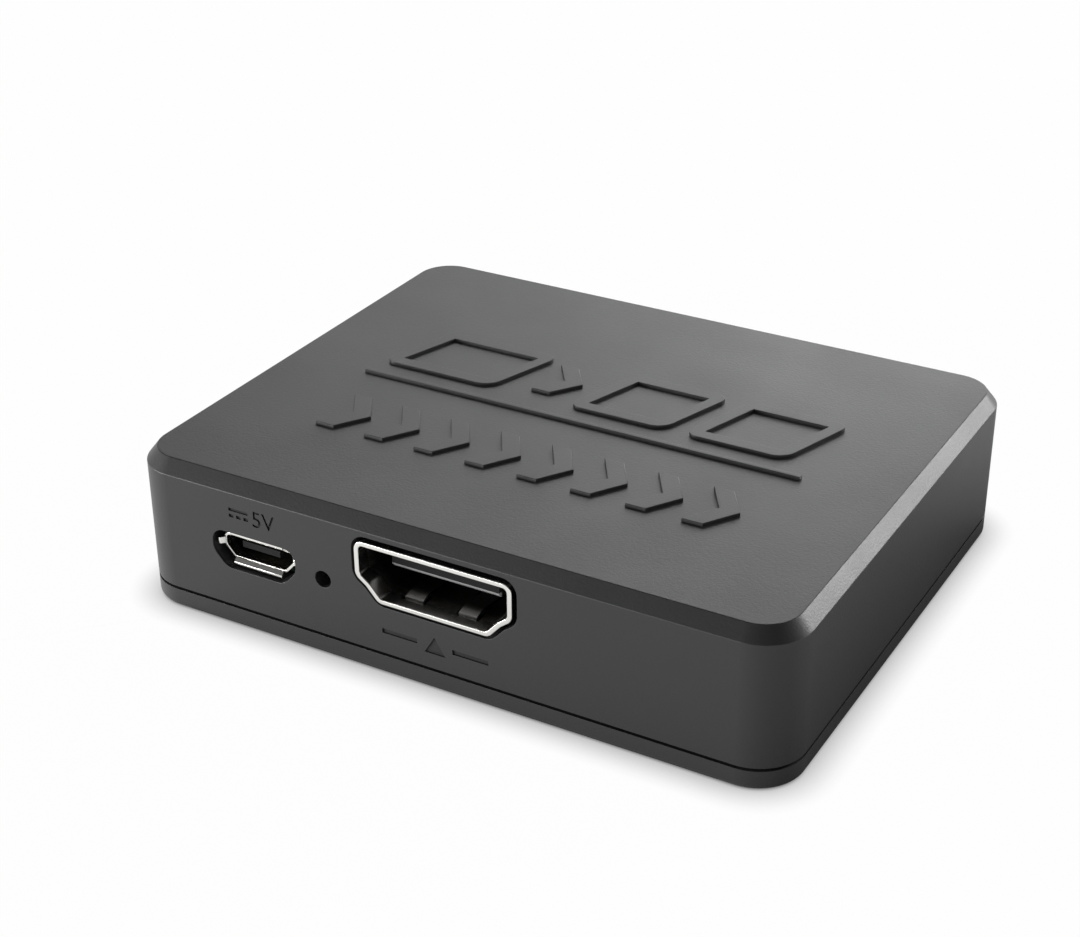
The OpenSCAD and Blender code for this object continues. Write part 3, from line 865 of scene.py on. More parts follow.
@dataclass(frozen=True)
class SocketForm:
    """Mouth of a socket from the front: right-hand corners from bottom to top, each with a bend radius."""

    corners: tuple[Vec, ...]

    def points(self, grow: float) -> list[Vec]:
        """Moves every edge outwards.

        Args:
            grow: How far.

        Returns:
            The right-hand corners with the offset of each bend from its corner.
        """
        right = [Vector((x, z)) for x, z, _ in self.corners]
        ring = right + [Vector((-p.x, p.y)) for p in reversed(right)]
        out = []
        for i, (_, _, radius) in enumerate(self.corners):
            before, here, after = ring[i - 1], ring[i], ring[i + 1]
            u, v = (here - before).normalized(), (after - here).normalized()
            a, b = Vector((u.y, -u.x)), Vector((v.y, -v.x))
            moved = here + grow * (a + b) / (1 + a.dot(b))
            turn = math.atan2(u.x * v.y - u.y * v.x, u.dot(v))
            bend = radius + math.copysign(grow, turn)
            out.append((moved.x, moved.y, bend * math.tan(abs(turn) / 2)))
        return out

    def prism(self, name: str, grow: float, front: float, back: float, flare: float = 0.0,
              flare_len: float = 0.0) -> Obj:
        """Models a solid bar with the mouth's outline.

        Args:
            name: Name of the bar.
            grow: How far it stands outside the opening.
            front: Its front end along Y.
            back: Its back end along Y.
            flare: How much further its front end spreads.
            flare_len: Length of the spread end.

        Returns:
            The bar, with the opening's floor at z = 0 and its middle at x = 0.
        """
        pts = self.points(grow)
        wide = max(p[0] for p in pts)
        low, high = pts[0][1], pts[-1][1]
        bar = Bench.block(name, (-wide, front, low), (wide, back, high))
        for _, z, _ in pts[1:-1]:
            Bench.slice(bar, Axis.Z, z)
        for x, z, _ in pts[:-1]:
            Bench.pick(bar, Part.VERT, lambda c: abs(c.z - z) < EPS)
            Bench.spread((x / wide, 1, 1), (0, 0, 0))
        for x, z, bend in pts:
            Bench.pick(bar, Part.EDGE, lambda a, b: all(
                abs(abs(c.x) - x) < EPS and abs(c.z - z) < EPS for c in (a, b)) and abs(a.y - b.y) > EPS)
            Bench.bevel(bend, 6)
        if flare:
            Bench.slice(bar, Axis.Y, front + flare_len)
            Bench.pick(bar, Part.VERT, lambda c: abs(c.y - front) < EPS)
            tall = (high - low) / 2
            Bench.spread(((wide + flare) / wide, 1, (tall + flare) / tall), (0, front, (low + high) / 2))
        return bar

    def tube(self, name: str, sheet: float, length: float, mouth: float, mouth_len: float,
             soft: Point) -> Obj:
        """Models a thin-walled tube that fits round the opening, with a thicker rounded mouth at y = 0.

        Args:
            name: Name of the tube.
            sheet: Thickness of its wall.
            length: Its length.
            mouth: Thickness of its mouth.
            mouth_len: Length of the thicker end.
            soft: Rounding of the mouth's inner and outer edge.

        Returns:
            The tube.
        """
        tube = self.prism(name, sheet, 0.0, length, mouth - sheet, mouth_len)
        inner: set[Vec] = set()
        for at, thick in ((0.0, mouth), (length, sheet)):
            Bench.pick(tube, Part.FACE, lambda c, n: abs(n.y) > FLAT and abs(c.y - at) < EPS)
            bpy.ops.mesh.inset(thickness=thick, use_even_offset=True)
            inner |= Bench.picked(tube)
            bpy.ops.mesh.delete(type="FACE")
            Bench.done()
        Bench.pick(tube, Part.EDGE, lambda a, b: {Bench.spot(a), Bench.spot(b)} <= inner)
        bpy.ops.mesh.bridge_edge_loops()
        bpy.ops.mesh.select_all(action="SELECT")
        bpy.ops.mesh.normals_make_consistent(inside=False)
        Bench.done()
        Bench.pick(tube, Part.EDGE, lambda a, b: max(a.y, b.y) < EPS
                   and {Bench.spot(a), Bench.spot(b)} <= inner)
        Bench.bevel(soft[0], 5)
        Bench.pick_sharp(tube, lambda a, b: max(a.y, b.y) < EPS)
        Bench.bevel(soft[1], 4)
        return tube


VIDEO_FORM = SocketForm((
    (5.0 * MM, 0.0, 0.55 * MM), (6.05 * MM, 1.15 * MM, 1.3 * MM),
    (7.0 * MM, 1.85 * MM, 0.55 * MM), (7.0 * MM, 4.55 * MM, 0.55 * MM)))
POWER_FORM = SocketForm((
    (2.6 * MM, 0.0, 0.35 * MM), (3.45 * MM, 0.95 * MM, 0.35 * MM), (3.45 * MM, 1.85 * MM, 0.35 * MM)))


@dataclass
class Case:
    """The two mouldings of the case, in the frame of the solids."""

    width: float = 62.0 * MM
    depth: float = 50.0 * MM
    height: float = 14.5 * MM
    corner: float = 4.2 * MM
    chamfer_in: float = 1.0 * MM
    chamfer_down: float = 1.25 * MM
    wall: float = 1.8 * MM
    roof: float = 1.8 * MM
    floor: float = 1.5 * MM
    seam: float = 2.1 * MM
    seam_gap: float = 0.25 * MM
    seam_in: float = 0.6 * MM
    foot: float = 0.6 * MM
    lip: float = 1.0 * MM
    lip_gap: float = 0.15 * MM
    lip_rise: float = 1.3 * MM
    board_low: float = 4.7 * MM
    board_top: float = 6.3 * MM
    post: float = 2.2 * MM
    post_x: float = 26.0 * MM
    post_y: float = 20.0 * MM
    peg: float = 1.0 * MM
    peg_rise: float = 1.4 * MM
    peg_bore: float = 1.12 * MM
    peg_room: float = 0.4 * MM
    rib: float = 0.9 * MM
    rib_rise: float = 1.2 * MM
    hook_x: float = 10.8 * MM
    hook_width: float = 4.0 * MM
    hook_slit: float = 0.6 * MM
    barb: float = 0.55 * MM
    barb_edge: float = 0.2 * MM
    catch_play: float = 0.1 * MM
    hole_past: float = 0.6 * MM
    video_floor: float = 7.41 * MM
    video_out_x: float = 13.5 * MM
    video_hole: float = 0.8 * MM
    power_x: float = -17.95 * MM
    power_floor: float = 6.65 * MM
    power_hole: float = 0.83 * MM
    lamp_x: float = -10.85 * MM
    lamp_z: float = 7.52 * MM
    lamp_hole: float = 0.775 * MM
    relief: float = 0.3 * MM
    soft: float = 0.06 * MM
    opening_soft: float = 0.08 * MM

    def inset_of(self, co: Vector) -> float:
        """Tells how far inside the case's outline a point lies, seen from above.

        Args:
            co: The point.

        Returns:
            The distance.
        """
        qx = abs(co.x) - (self.width / 2 - self.corner)
        qy = abs(co.y) - (self.depth / 2 - self.corner)
        return self.corner - math.hypot(max(qx, 0), max(qy, 0)) - min(max(qx, qy), 0)

    def on_loop(self, a: Vector, b: Vector, z: float, inset: float) -> bool:
        """Tells an edge that runs round the case at one height and inset."""
        return all(abs(c.z - z) < EPS and abs(self.inset_of(c) - inset) < EPS for c in (a, b))

    def on_opening(self, a: Vector, b: Vector) -> bool:
        """Tells an edge of an opening on the outside of an end wall.

        Args:
            a: One end of the edge.
            b: Its other end.

        Returns:
            True if it is one.
        """
        low, high = self.seam + self.soft, self.height - self.chamfer_down - self.soft
        side = self.width / 2 - self.corner
        return all(abs(abs(c.y) - self.depth / 2) < EPS and low < c.z < high and abs(c.x) < side
                   for c in (a, b))

    @property
    def hook_span(self) -> Point:
        """Gives the underside of the barbs and the top of the hooks."""
        under = self.board_low - self.seam
        return self.seam + under / 3, self.board_low - under / 8

    def hooks(self, name: str) -> list[tuple[str, float, Vec]]:
        """Lists the places of the snap hooks, each turned so that +Y is out through the wall.

        Args:
            name: Name for what is placed there.

        Returns:
            Name, turn and shift of each.
        """
        x, y = self.width / 2 - self.wall, self.depth / 2 - self.wall
        spots = ((self.hook_x, y, 0.0), (-self.hook_x, y, 0.0), (self.hook_x, -y, math.pi),
                 (-self.hook_x, -y, math.pi), (x, 0.0, -math.pi / 2), (-x, 0.0, math.pi / 2))
        return [(name, turn, (x, y, 0)) for x, y, turn in spots]

    def posts(self, name: str) -> list[tuple[str, float, Vec]]:
        """Lists the places of the board posts, each turned so that +X is out through the side wall.

        Args:
            name: Name for what is placed there.

        Returns:
            Name, turn and shift of each.
        """
        return [(name, turn, (way * self.post_x, end * self.post_y, 0))
                for way, turn in ((-1, math.pi), (1, 0.0)) for end in (-1, 1)]

    def slab(self, name: str, low: float, high: float) -> Obj:
        """Models a slab with the case's outline and round upright corners.

        Args:
            name: Name of the slab.
            low: Height of its underside.
            high: Height of its top.

        Returns:
            The slab.
        """
        x, y = self.width / 2, self.depth / 2
        slab = Bench.block(name, (-x, -y, low), (x, y, high))
        Bench.pick(slab, Part.EDGE, lambda a, b: abs(a.z - b.z) > EPS)
        Bench.bevel(self.corner, 16)
        return slab

    def top_shell(self) -> Obj:
        """Models the top shell: chamfered box, hollow, socket holes, clamps and catches.

        Returns:
            The shell without its relief.
        """
        shell = self.slab("case_top", self.seam, self.height)
        Bench.pick(shell, Part.FACE, lambda c, n: n.z > FLAT)
        bpy.ops.mesh.inset(thickness=self.chamfer_in, use_even_offset=True)
        Bench.pick(shell, Part.VERT, lambda c: c.z > self.height - EPS
                   and self.inset_of(c) < self.chamfer_in / 2)
        Bench.move((0, 0, -self.chamfer_down))
        rims = ((self.height, self.chamfer_in), (self.height - self.chamfer_down, 0.0), (self.seam, 0.0))
        Bench.pick(shell, Part.EDGE, lambda a, b: any(self.on_loop(a, b, *rim) for rim in rims))
        Bench.bevel(self.soft, 3)
        Bench.pick(shell, Part.FACE, lambda c, n: n.z < -FLAT)
        Bench.step(self.wall - self.soft, self.height - self.roof - self.seam)
        Bench.done()
        for cutter in self.holes():
            Bench.combine(shell, cutter, Join.CUT)
        Bench.pick_sharp(shell, self.on_opening)
        Bench.bevel(self.opening_soft, 2)
        for cutter in self.catches():
            Bench.combine(shell, cutter, Join.CUT)
        for clamp in Bench.deal(self.clamp(), self.posts("board_clamp")):
            Bench.combine(shell, clamp, Join.UNION)
        return shell

    def holes(self) -> list[Obj]:
        """Models the solids that are cut out of the walls for the sockets and the lamp.

        Returns:
            The cutters.
        """
        front, back = -self.depth / 2 - OVER, -self.depth / 2 + self.wall + self.hole_past
        video = VIDEO_FORM.prism("video_cutter", self.video_hole, front, back)
        cutters = Bench.deal(video, [
            ("video_in_cutter", 0.0, (0, 0, self.video_floor)),
            ("video_out_1_cutter", math.pi, (-self.video_out_x, 0, self.video_floor)),
            ("video_out_2_cutter", math.pi, (self.video_out_x, 0, self.video_floor))])
        power = POWER_FORM.prism("power_cutter", self.power_hole, front, back)
        cutters.append(Bench.place(power, 0.0, (self.power_x, 0, self.power_floor)))
        start = (self.lamp_x, front, self.lamp_z)
        cutters.append(Bench.rod("lamp_cutter", start, self.lamp_hole, back - front, lying=True))
        return cutters

    def catches(self) -> list[Obj]:
        """Models the pockets that the snap hooks spring into.

        Returns:
            The cutters.
        """
        play = self.catch_play
        low, high = self.hook_span
        half = self.hook_width / 2 + play
        pocket = Bench.block("catch_cutter", (-half, -OVER, low - play),
                             (half, self.barb - self.lip_gap + play, high + play))
        return Bench.deal(pocket, self.hooks("catch_placed"))

    def clamp(self) -> Obj:
        """Models one clamp that holds the board down, with its peg bore and a rib to the side wall.

        Returns:
            The clamp at x = 0 and y = 0, reaching into the roof, with +X out through the wall.
        """
        top = self.height - self.roof / 2
        clamp = Bench.rod("clamp", (0, 0, self.board_top), self.post, top - self.board_top)
        wall = self.width / 2 - self.wall / 2 - self.post_x
        rib = Bench.block("clamp_rib", (0, -self.rib / 2, self.board_top + self.rib_rise),
                          (wall, self.rib / 2, top))
        Bench.combine(clamp, rib, Join.UNION)
        bore = Bench.rod("clamp_bore", (0, 0, self.board_top - OVER), self.peg_bore,
                         OVER + self.peg_rise + self.peg_room)
        Bench.combine(clamp, bore, Join.CUT)
        return clamp

    def bottom_cover(self) -> Obj:
        """Models the bottom cover: round-edged slab, shadow groove, lip, hooks, posts and pegs.

        Returns:
            The cover.
        """
        ledge = self.seam - self.seam_gap
        cover = self.slab("case_bottom", 0.0, ledge)
        Bench.pick(cover, Part.EDGE, lambda a, b: self.on_loop(a, b, 0.0, 0.0))
        Bench.bevel(self.foot, 6)
        Bench.pick(cover, Part.EDGE, lambda a, b: self.on_loop(a, b, ledge, 0.0))
        Bench.bevel(self.soft / 2, 2)
        Bench.pick(cover, Part.FACE, lambda c, n: n.z > FLAT and c.z > ledge - EPS)
        Bench.step(self.seam_in - self.soft / 2, self.seam_gap)
        Bench.step(self.wall + self.lip_gap - self.seam_in, self.lip_rise)
        Bench.step(self.lip, self.floor - self.seam - self.lip_rise)
        Bench.done()
        for gap, stem in zip(*self.hook_tools()):
            Bench.combine(cover, gap, Join.CUT)
            Bench.combine(cover, stem, Join.UNION)
        post = Bench.rod("post", (0, 0, self.floor / 2), self.post, self.board_low - self.floor / 2)
        peg = Bench.rod("peg", (0, 0, self.floor), self.peg, self.board_top + self.peg_rise - self.floor)
        posts, pegs = Bench.deal(post, self.posts("board_post")), Bench.deal(peg, self.posts("board_peg"))
        for pair in zip(posts, pegs):
            for bar in pair:
                Bench.combine(cover, bar, Join.UNION)
        Bench.weld(cover, EPS / 100)
        return cover

    def hook_tools(self) -> tuple[list[Obj], list[Obj]]:
        """Models what turns a stretch of lip into a snap hook.

        Returns:
            The gaps that are cut into the lip, and the hooks that stand in them.
        """
        low, top = self.hook_span
        half, slit = self.hook_width / 2, self.hook_width / 2 + self.hook_slit
        front = -self.lip_gap - self.lip
        gap = Bench.block("hook_gap", (-slit, front - OVER, self.seam),
                          (slit, 0.0, self.seam + self.lip_rise + OVER))
        stem = Bench.block("hook_stem", (-half, front, self.floor / 2), (half, -self.lip_gap, top))
        for z in (low, low + self.barb_edge):
            Bench.slice(stem, Axis.Z, z)
        Bench.pick(stem, Part.FACE, lambda c, n: n.y > FLAT and low < c.z < low + self.barb_edge)
        bpy.ops.mesh.extrude_region_move(TRANSFORM_OT_translate={"value": (0, self.barb, 0)})
        Bench.done()
        return Bench.deal(gap, self.hooks("gap_placed")), Bench.deal(stem, self.hooks("stem_placed"))


@dataclass
class Relief:
    """Generic raised marks on the roof and sunk marks on the end walls."""

    case: Case
    slant: float = 0.32
    stroke: float = 1.25 * MM
    row_back: Point = (0.6 * MM, 9.0 * MM)
    row_front: Point = (-12.9 * MM, -6.8 * MM)
    screens: tuple[Point, ...] = ((-21.5 * MM, 11.6 * MM), (-1.9 * MM, 9.6 * MM), (9.6 * MM, 9.6 * MM))
    screen_round: float = 1.3 * MM
    window_tall: float = 1.5
    pointer_x: float = -6.3 * MM
    pointer_in: float = 1.4 * MM
    line_half: float = 21.7 * MM
    line_y: Point = (-2.0 * MM, -1.5 * MM)
    chevrons: int = 8
    chevron_x: float = -19.6 * MM
    chevron_pitch: float = 5.1 * MM
    chevron_wide: float = 1.875 * MM
    chevron_tip: float = 1.9 * MM
    sunk: float = 0.14 * MM
    reach: float = 0.5 * MM
    figure_half: float = 0.3 * MM
    figure_share: float = 0.69
    arrow: float = 1.6 * MM
    arrow_half: float = 0.62
    arrow_blunt: float = 0.02
    dash: Point = (0.48 * MM, 0.28 * MM)
    dash_left: float = -2.3 * MM
    dash_rows: Point = (10.95 * MM, 11.55 * MM)
    dash_thick: float = 0.3 * MM
    volts: Vec = (1.25 * MM, 10.65 * MM, 1.5 * MM)
    in_arrow_z: float = 3.55 * MM
    in_bars: Point = (-5.1 * MM, 1.7 * MM)
    in_bar_z: float = 4.1 * MM
    in_bar_size: Point = (3.4 * MM, 0.45 * MM)
    out_figure: Vec = (-1.4 * MM, 3.7 * MM, 1.7 * MM)
    out_arrow: Point = (1.2 * MM, 3.75 * MM)

    @property
    def raised(self) -> Point:
        """Gives the height that a raised mark starts from, inside the roof, and its top."""
        return self.case.height - self.case.roof / 2, self.case.height + self.case.relief

    @property
    def sinking(self) -> Point:
        """Gives where a cutter starts, in front of the front wall, and where it ends, in the wall."""
        return -self.case.depth / 2 - self.reach, -self.case.depth / 2 + self.sunk

    def raise_block(self, name: str, x: Point, y: Point) -> Obj:
        """Models a raised block between two places along X and two along Y."""
        base, top = self.raised
        return Bench.block(name, (x[0], y[0], base), (x[1], y[1], top))

    def leaning(self, name: str, x: Point, y: Point) -> Obj:
        """Models a raised block whose back edge is shifted to the right.

        Args:
            name: Name of the block.
            x: Left and right end of its front edge.
            y: Its front and back.

        Returns:
            The block, reaching into the roof.
        """
        block = self.raise_block(name, x, y)
        Bench.pick(block, Part.VERT, lambda c: abs(c.y - y[1]) < EPS)
        Bench.move((self.slant * (y[1] - y[0]), 0, 0))
        return block

    def screen(self, name: str, x: float, width: float) -> Obj:
        """Models a leaning picture frame.

        Args:
            name: Name of the frame.
            x: Left end of its front edge.
            width: Its width.

        Returns:
            The frame.
        """
        y0, y1 = self.row_back
        s, lean = self.stroke, self.slant * self.stroke
        outer = self.leaning(name, (x, x + width), (y0, y1))
        Bench.pick(outer, Part.EDGE, lambda a, b: abs(a.z - b.z) > EPS)
        Bench.bevel(self.screen_round, 6)
        inner = self.leaning(name + "_window", (x + s + lean, x + width - s + lean), (y0 + s, y1 - s))
        Bench.pick_all(inner)
        Bench.spread((1, 1, self.window_tall), (0, 0, self.case.height))
        Bench.combine(outer, inner, Join.CUT)
        return outer

    def chevron(self, name: str, x: float, row: Point) -> Obj:
        """Models one raised chevron that points to the right.

        Args:
            name: Name of the chevron.
            x: Left end of its tails.
            row: Its front and back along Y.

        Returns:
            The chevron.
        """
        bar = self.raise_block(name, (x, x + self.chevron_wide), row)
        mid = sum(row) / 2
        Bench.slice(bar, Axis.Y, mid)
        Bench.pick(bar, Part.VERT, lambda c: abs(c.y - mid) < EPS)
        Bench.move((self.chevron_tip, 0, 0))
        return bar

    def roof_marks(self) -> list[Obj]:
        """Models the raised marks: three frames with a pointer, a line and a row of chevrons.

        Returns:
            The marks.
        """
        y0, y1 = self.row_back
        marks = [self.screen(f"mark_screen_{k}", x, width) for k, (x, width) in enumerate(self.screens)]
        short = (y0 + self.pointer_in, y1 - self.pointer_in)
        marks.append(self.chevron("mark_pointer", self.pointer_x, short))
        marks.append(self.raise_block("mark_line", (-self.line_half, self.line_half), self.line_y))
        marks += [self.chevron(f"mark_chevron_{k}", self.chevron_x + self.chevron_pitch * k, self.row_front)
                  for k in range(self.chevrons)]
        return marks

    def sunk_bar(self, x: float, z: float, width: float, height: float) -> Obj:
        """Models a cutter for a sunk bar on the front wall.

        Args:
            x: Its left end.
            z: Its low edge.
            width: Its width.
            height: Its height.

        Returns:
            The cutter.
        """
        start, end = self.sinking
        return Bench.block("mark_bar", (x, start, z), (x + width, end, z + height))

    def sunk_figures(self, body: str, x: float, z: float, height: float, face: Face) -> Obj:
        """Models a cutter for plain sunk figures on the front or back wall.

        Args:
            body: The figures.
            x: Their middle, seen from outside.
            z: Their foot.
            height: Height of a figure.
            face: Which wall.

        Returns:
            The cutter.
        """
        bpy.ops.object.select_all(action="DESELECT")
        bpy.ops.object.text_add()
        text = bpy.context.object
        text.data.body = body
        text.data.size = height / self.figure_share
        text.data.align_x = "CENTER"
        text.data.extrude = self.figure_half
        text.data.resolution_u = 6
        Bench.only(text)
        bpy.ops.object.convert(target="MESH")
        figures = Bench.added("mark_figures")
        figures.rotation_euler = (math.pi / 2, 0, 0)
        figures.location = (x, self.sinking[1] - self.figure_half, z)
        Bench.fix(figures)
        Bench.weld(figures, EPS / 10)
        return Bench.place(figures, face.value)

    def sunk_arrow(self, x: float, z: float, up: bool, face: Face) -> Obj:
        """Models a cutter for a sunk triangle that points towards or away from a socket.

        Args:
            x: Its middle, seen from outside.
            z: Its low edge.
            up: True to point up.
            face: Which wall.

        Returns:
            The cutter.
        """
        start, end = self.sinking
        half = self.arrow_half * self.arrow
        tip = z + self.arrow if up else z
        wedge = Bench.block("mark_wedge", (x - half, start, z), (x + half, end, z + self.arrow))
        Bench.pick(wedge, Part.VERT, lambda c: abs(c.z - tip) < EPS)
        Bench.spread((self.arrow_blunt, 1, 1), (x, 0, tip))
        return Bench.place(wedge, face.value)

    def wall_marks(self) -> list[Obj]:
        """Models the cutters of all sunk marks: supply sign, input arrow and bars, output numbers and arrows.

        Returns:
            The cutters.
        """
        power, out = self.case.power_x, self.case.video_out_x
        left, (low, high), (dash, gap) = power + self.dash_left, self.dash_rows, self.dash
        marks = [self.sunk_bar(left, high, 3 * dash + 2 * gap, self.dash_thick)]
        marks += [self.sunk_bar(left + (dash + gap) * k, low, dash, self.dash_thick) for k in range(3)]
        x, z, tall = self.volts
        marks.append(self.sunk_figures("5V", power + x, z, tall, Face.FRONT))
        marks.append(self.sunk_arrow(0.0, self.in_arrow_z, True, Face.FRONT))
        marks += [self.sunk_bar(bar, self.in_bar_z, *self.in_bar_size) for bar in self.in_bars]
        x, z, tall = self.out_figure
        for figure, mid in (("1", out), ("2", -out)):
            marks.append(self.sunk_figures(figure, mid + x, z, tall, Face.BACK))
            marks.append(self.sunk_arrow(mid + self.out_arrow[0], self.out_arrow[1], False, Face.BACK))
        return marks

    def add_to(self, shell: Obj) -> None:
        """Raises and sinks the marks on a shell and softens the top edges of the raised ones.

        Args:
            shell: The top shell.
        """
        Bench.combine(shell, Bench.gather(self.roof_marks(), "marks_raised"), Join.UNION)
        for cutter in self.wall_marks():
            Bench.combine(shell, cutter, Join.CUT)
        Bench.pick_sharp(shell, lambda a, b: min(a.z, b.z) > self.raised[1] - EPS)
        Bench.bevel(self.case.soft, 2)


@dataclass
class Pressing:
    """Pressed shell of a socket: mouth at y = 0 facing -Y, the floor of its opening at z = 0."""

    rise: float
    width: float
    height: float
    sheet: float
    length: float
    leg_width: float
    leg_reach: float

    def leg(self, way: int, y: float, top: float) -> Obj:
        """Models one leg, its root let into the side of the shell.

        Args:
            way: -1 for the left side, 1 for the right side.
            y: Its middle.
            top: Height of its root.

        Returns:
            The leg.
        """
        inner, half = self.width / 2, self.leg_width / 2
        x0, x1 = sorted((way * (inner + SKIN), way * (inner + self.sheet - SKIN)))
        return Bench.block("socket_leg", (x0, y - half, -self.rise - self.leg_reach), (x1, y + half, top))


@dataclass
class VideoSocket(Pressing):
    """Pressed shell of a video socket, with spring fingers in its lower and upper wall."""

    rise: float = 1.11 * MM
    width: float = 14.0 * MM
    height: float = 4.55 * MM
    sheet: float = 0.3 * MM
    length: float = 11.6 * MM
    leg_width: float = 1.2 * MM
    leg_reach: float = 2.3 * MM
    leg_places: Point = (4.1 * MM, 9.2 * MM)
    leg_round: float = 0.3 * MM
    proud: float = 0.2 * MM
    mouth: float = 0.48 * MM
    mouth_len: float = 0.7 * MM
    mouth_soft: Point = (0.1 * MM, 0.14 * MM)
    finger_width: float = 1.7 * MM
    finger_start: float = 1.3 * MM
    finger_len: float = 4.6 * MM
    finger_root: float = 0.1 * MM
    finger_flat: float = 0.5 * MM
    finger_bend: float = 1.1 * MM
    finger_round: float = 0.45 * MM
    finger_dip: float = 0.42 * MM
    finger_tip: float = 0.12 * MM
    slit: float = 0.25 * MM
    slit_deep: float = 0.45 * MM
    low_fingers: float = 2.55 * MM
    high_fingers: float = 3.4 * MM

    def finger(self, x: float, z: float, way: int) -> Obj:
        """Models one spring finger.

        Args:
            x: Its middle.
            z: Inner face of the wall that it is cut from.
            way: 1 for a finger in the top wall, -1 for one in the lower wall.

        Returns:
            The finger, its root sunk a little in the wall behind it.
        """
        start, bend = self.finger_start, self.finger_start + self.finger_bend
        end = start + self.finger_len + self.finger_root
        low, high = sorted((z + way * SKIN, z + way * (self.sheet - SKIN)))
        half = self.finger_width / 2
        strip = Bench.block("finger", (x - half, start, low), (x + half, end, high))
        for y in (bend, end - self.finger_flat):
            Bench.slice(strip, Axis.Y, y)
        for y, dip in ((bend, self.finger_dip), (start, self.finger_tip)):
            Bench.pick(strip, Part.VERT, lambda c: abs(c.y - y) < EPS)
            Bench.move((0, 0, -way * dip))
        Bench.pick(strip, Part.EDGE, lambda a, b: all(abs(c.y - bend) < EPS for c in (a, b))
                   and abs(a.x - b.x) > EPS)
        Bench.bevel(self.finger_round, 4)
        return strip

    def build(self, name: str) -> Obj:
        """Models the shell once.

        Args:
            name: Name of the shell.

        Returns:
            The shell, in the socket's own place.
        """
        shell = VIDEO_FORM.tube(name, self.sheet, self.length, self.mouth, self.mouth_len, self.mouth_soft)
        half, deep = self.finger_width / 2 + self.slit, self.slit_deep
        front, back = self.finger_start - self.slit, self.finger_start + self.finger_len
        for z, x in ((0.0, self.low_fingers), (self.height, self.high_fingers)):
            for mid in (-x, x):
                window = Bench.block("finger_window", (mid - half, front, z - deep),
                                     (mid + half, back, z + deep))
                Bench.combine(shell, window, Join.CUT)
        for way in (-1, 1):
            Bench.combine(shell, self.finger(way * self.low_fingers, 0.0, -1), Join.UNION)
            Bench.combine(shell, self.finger(way * self.high_fingers, self.height, 1), Join.UNION)
            for y in self.leg_places:
                leg = self.leg(way, y, self.height / 2)
                Bench.pick(leg, Part.EDGE, lambda a, b: max(a.z, b.z) < -self.rise and abs(a.x - b.x) > EPS)
                Bench.bevel(self.leg_round, 2)
                Bench.combine(shell, leg, Join.UNION)
        return shell

    def dress(self, case: Case, wardrobe: Wardrobe) -> None:
        """Puts the three shells in their walls and finishes them.

        Args:
            case: What they look out of.
            wardrobe: Where the finishes hang.
        """
        floor, mouth = case.board_top + self.rise, case.depth / 2 + self.proud
        names = ("video_in", "video_out_1", "video_out_2")
        spots = ((0.0, (0, -mouth, floor)), (math.pi, (-case.video_out_x, mouth, floor)),
                 (math.pi, (case.video_out_x, mouth, floor)))
        places = [(name + "_pressing", *spot) for name, spot in zip(names, spots)]
        for name, piece in zip(names, Bench.deal(self.build("video_shell_pressing"), places)):
            wardrobe.dress(piece, NICKEL, name + "_shell")


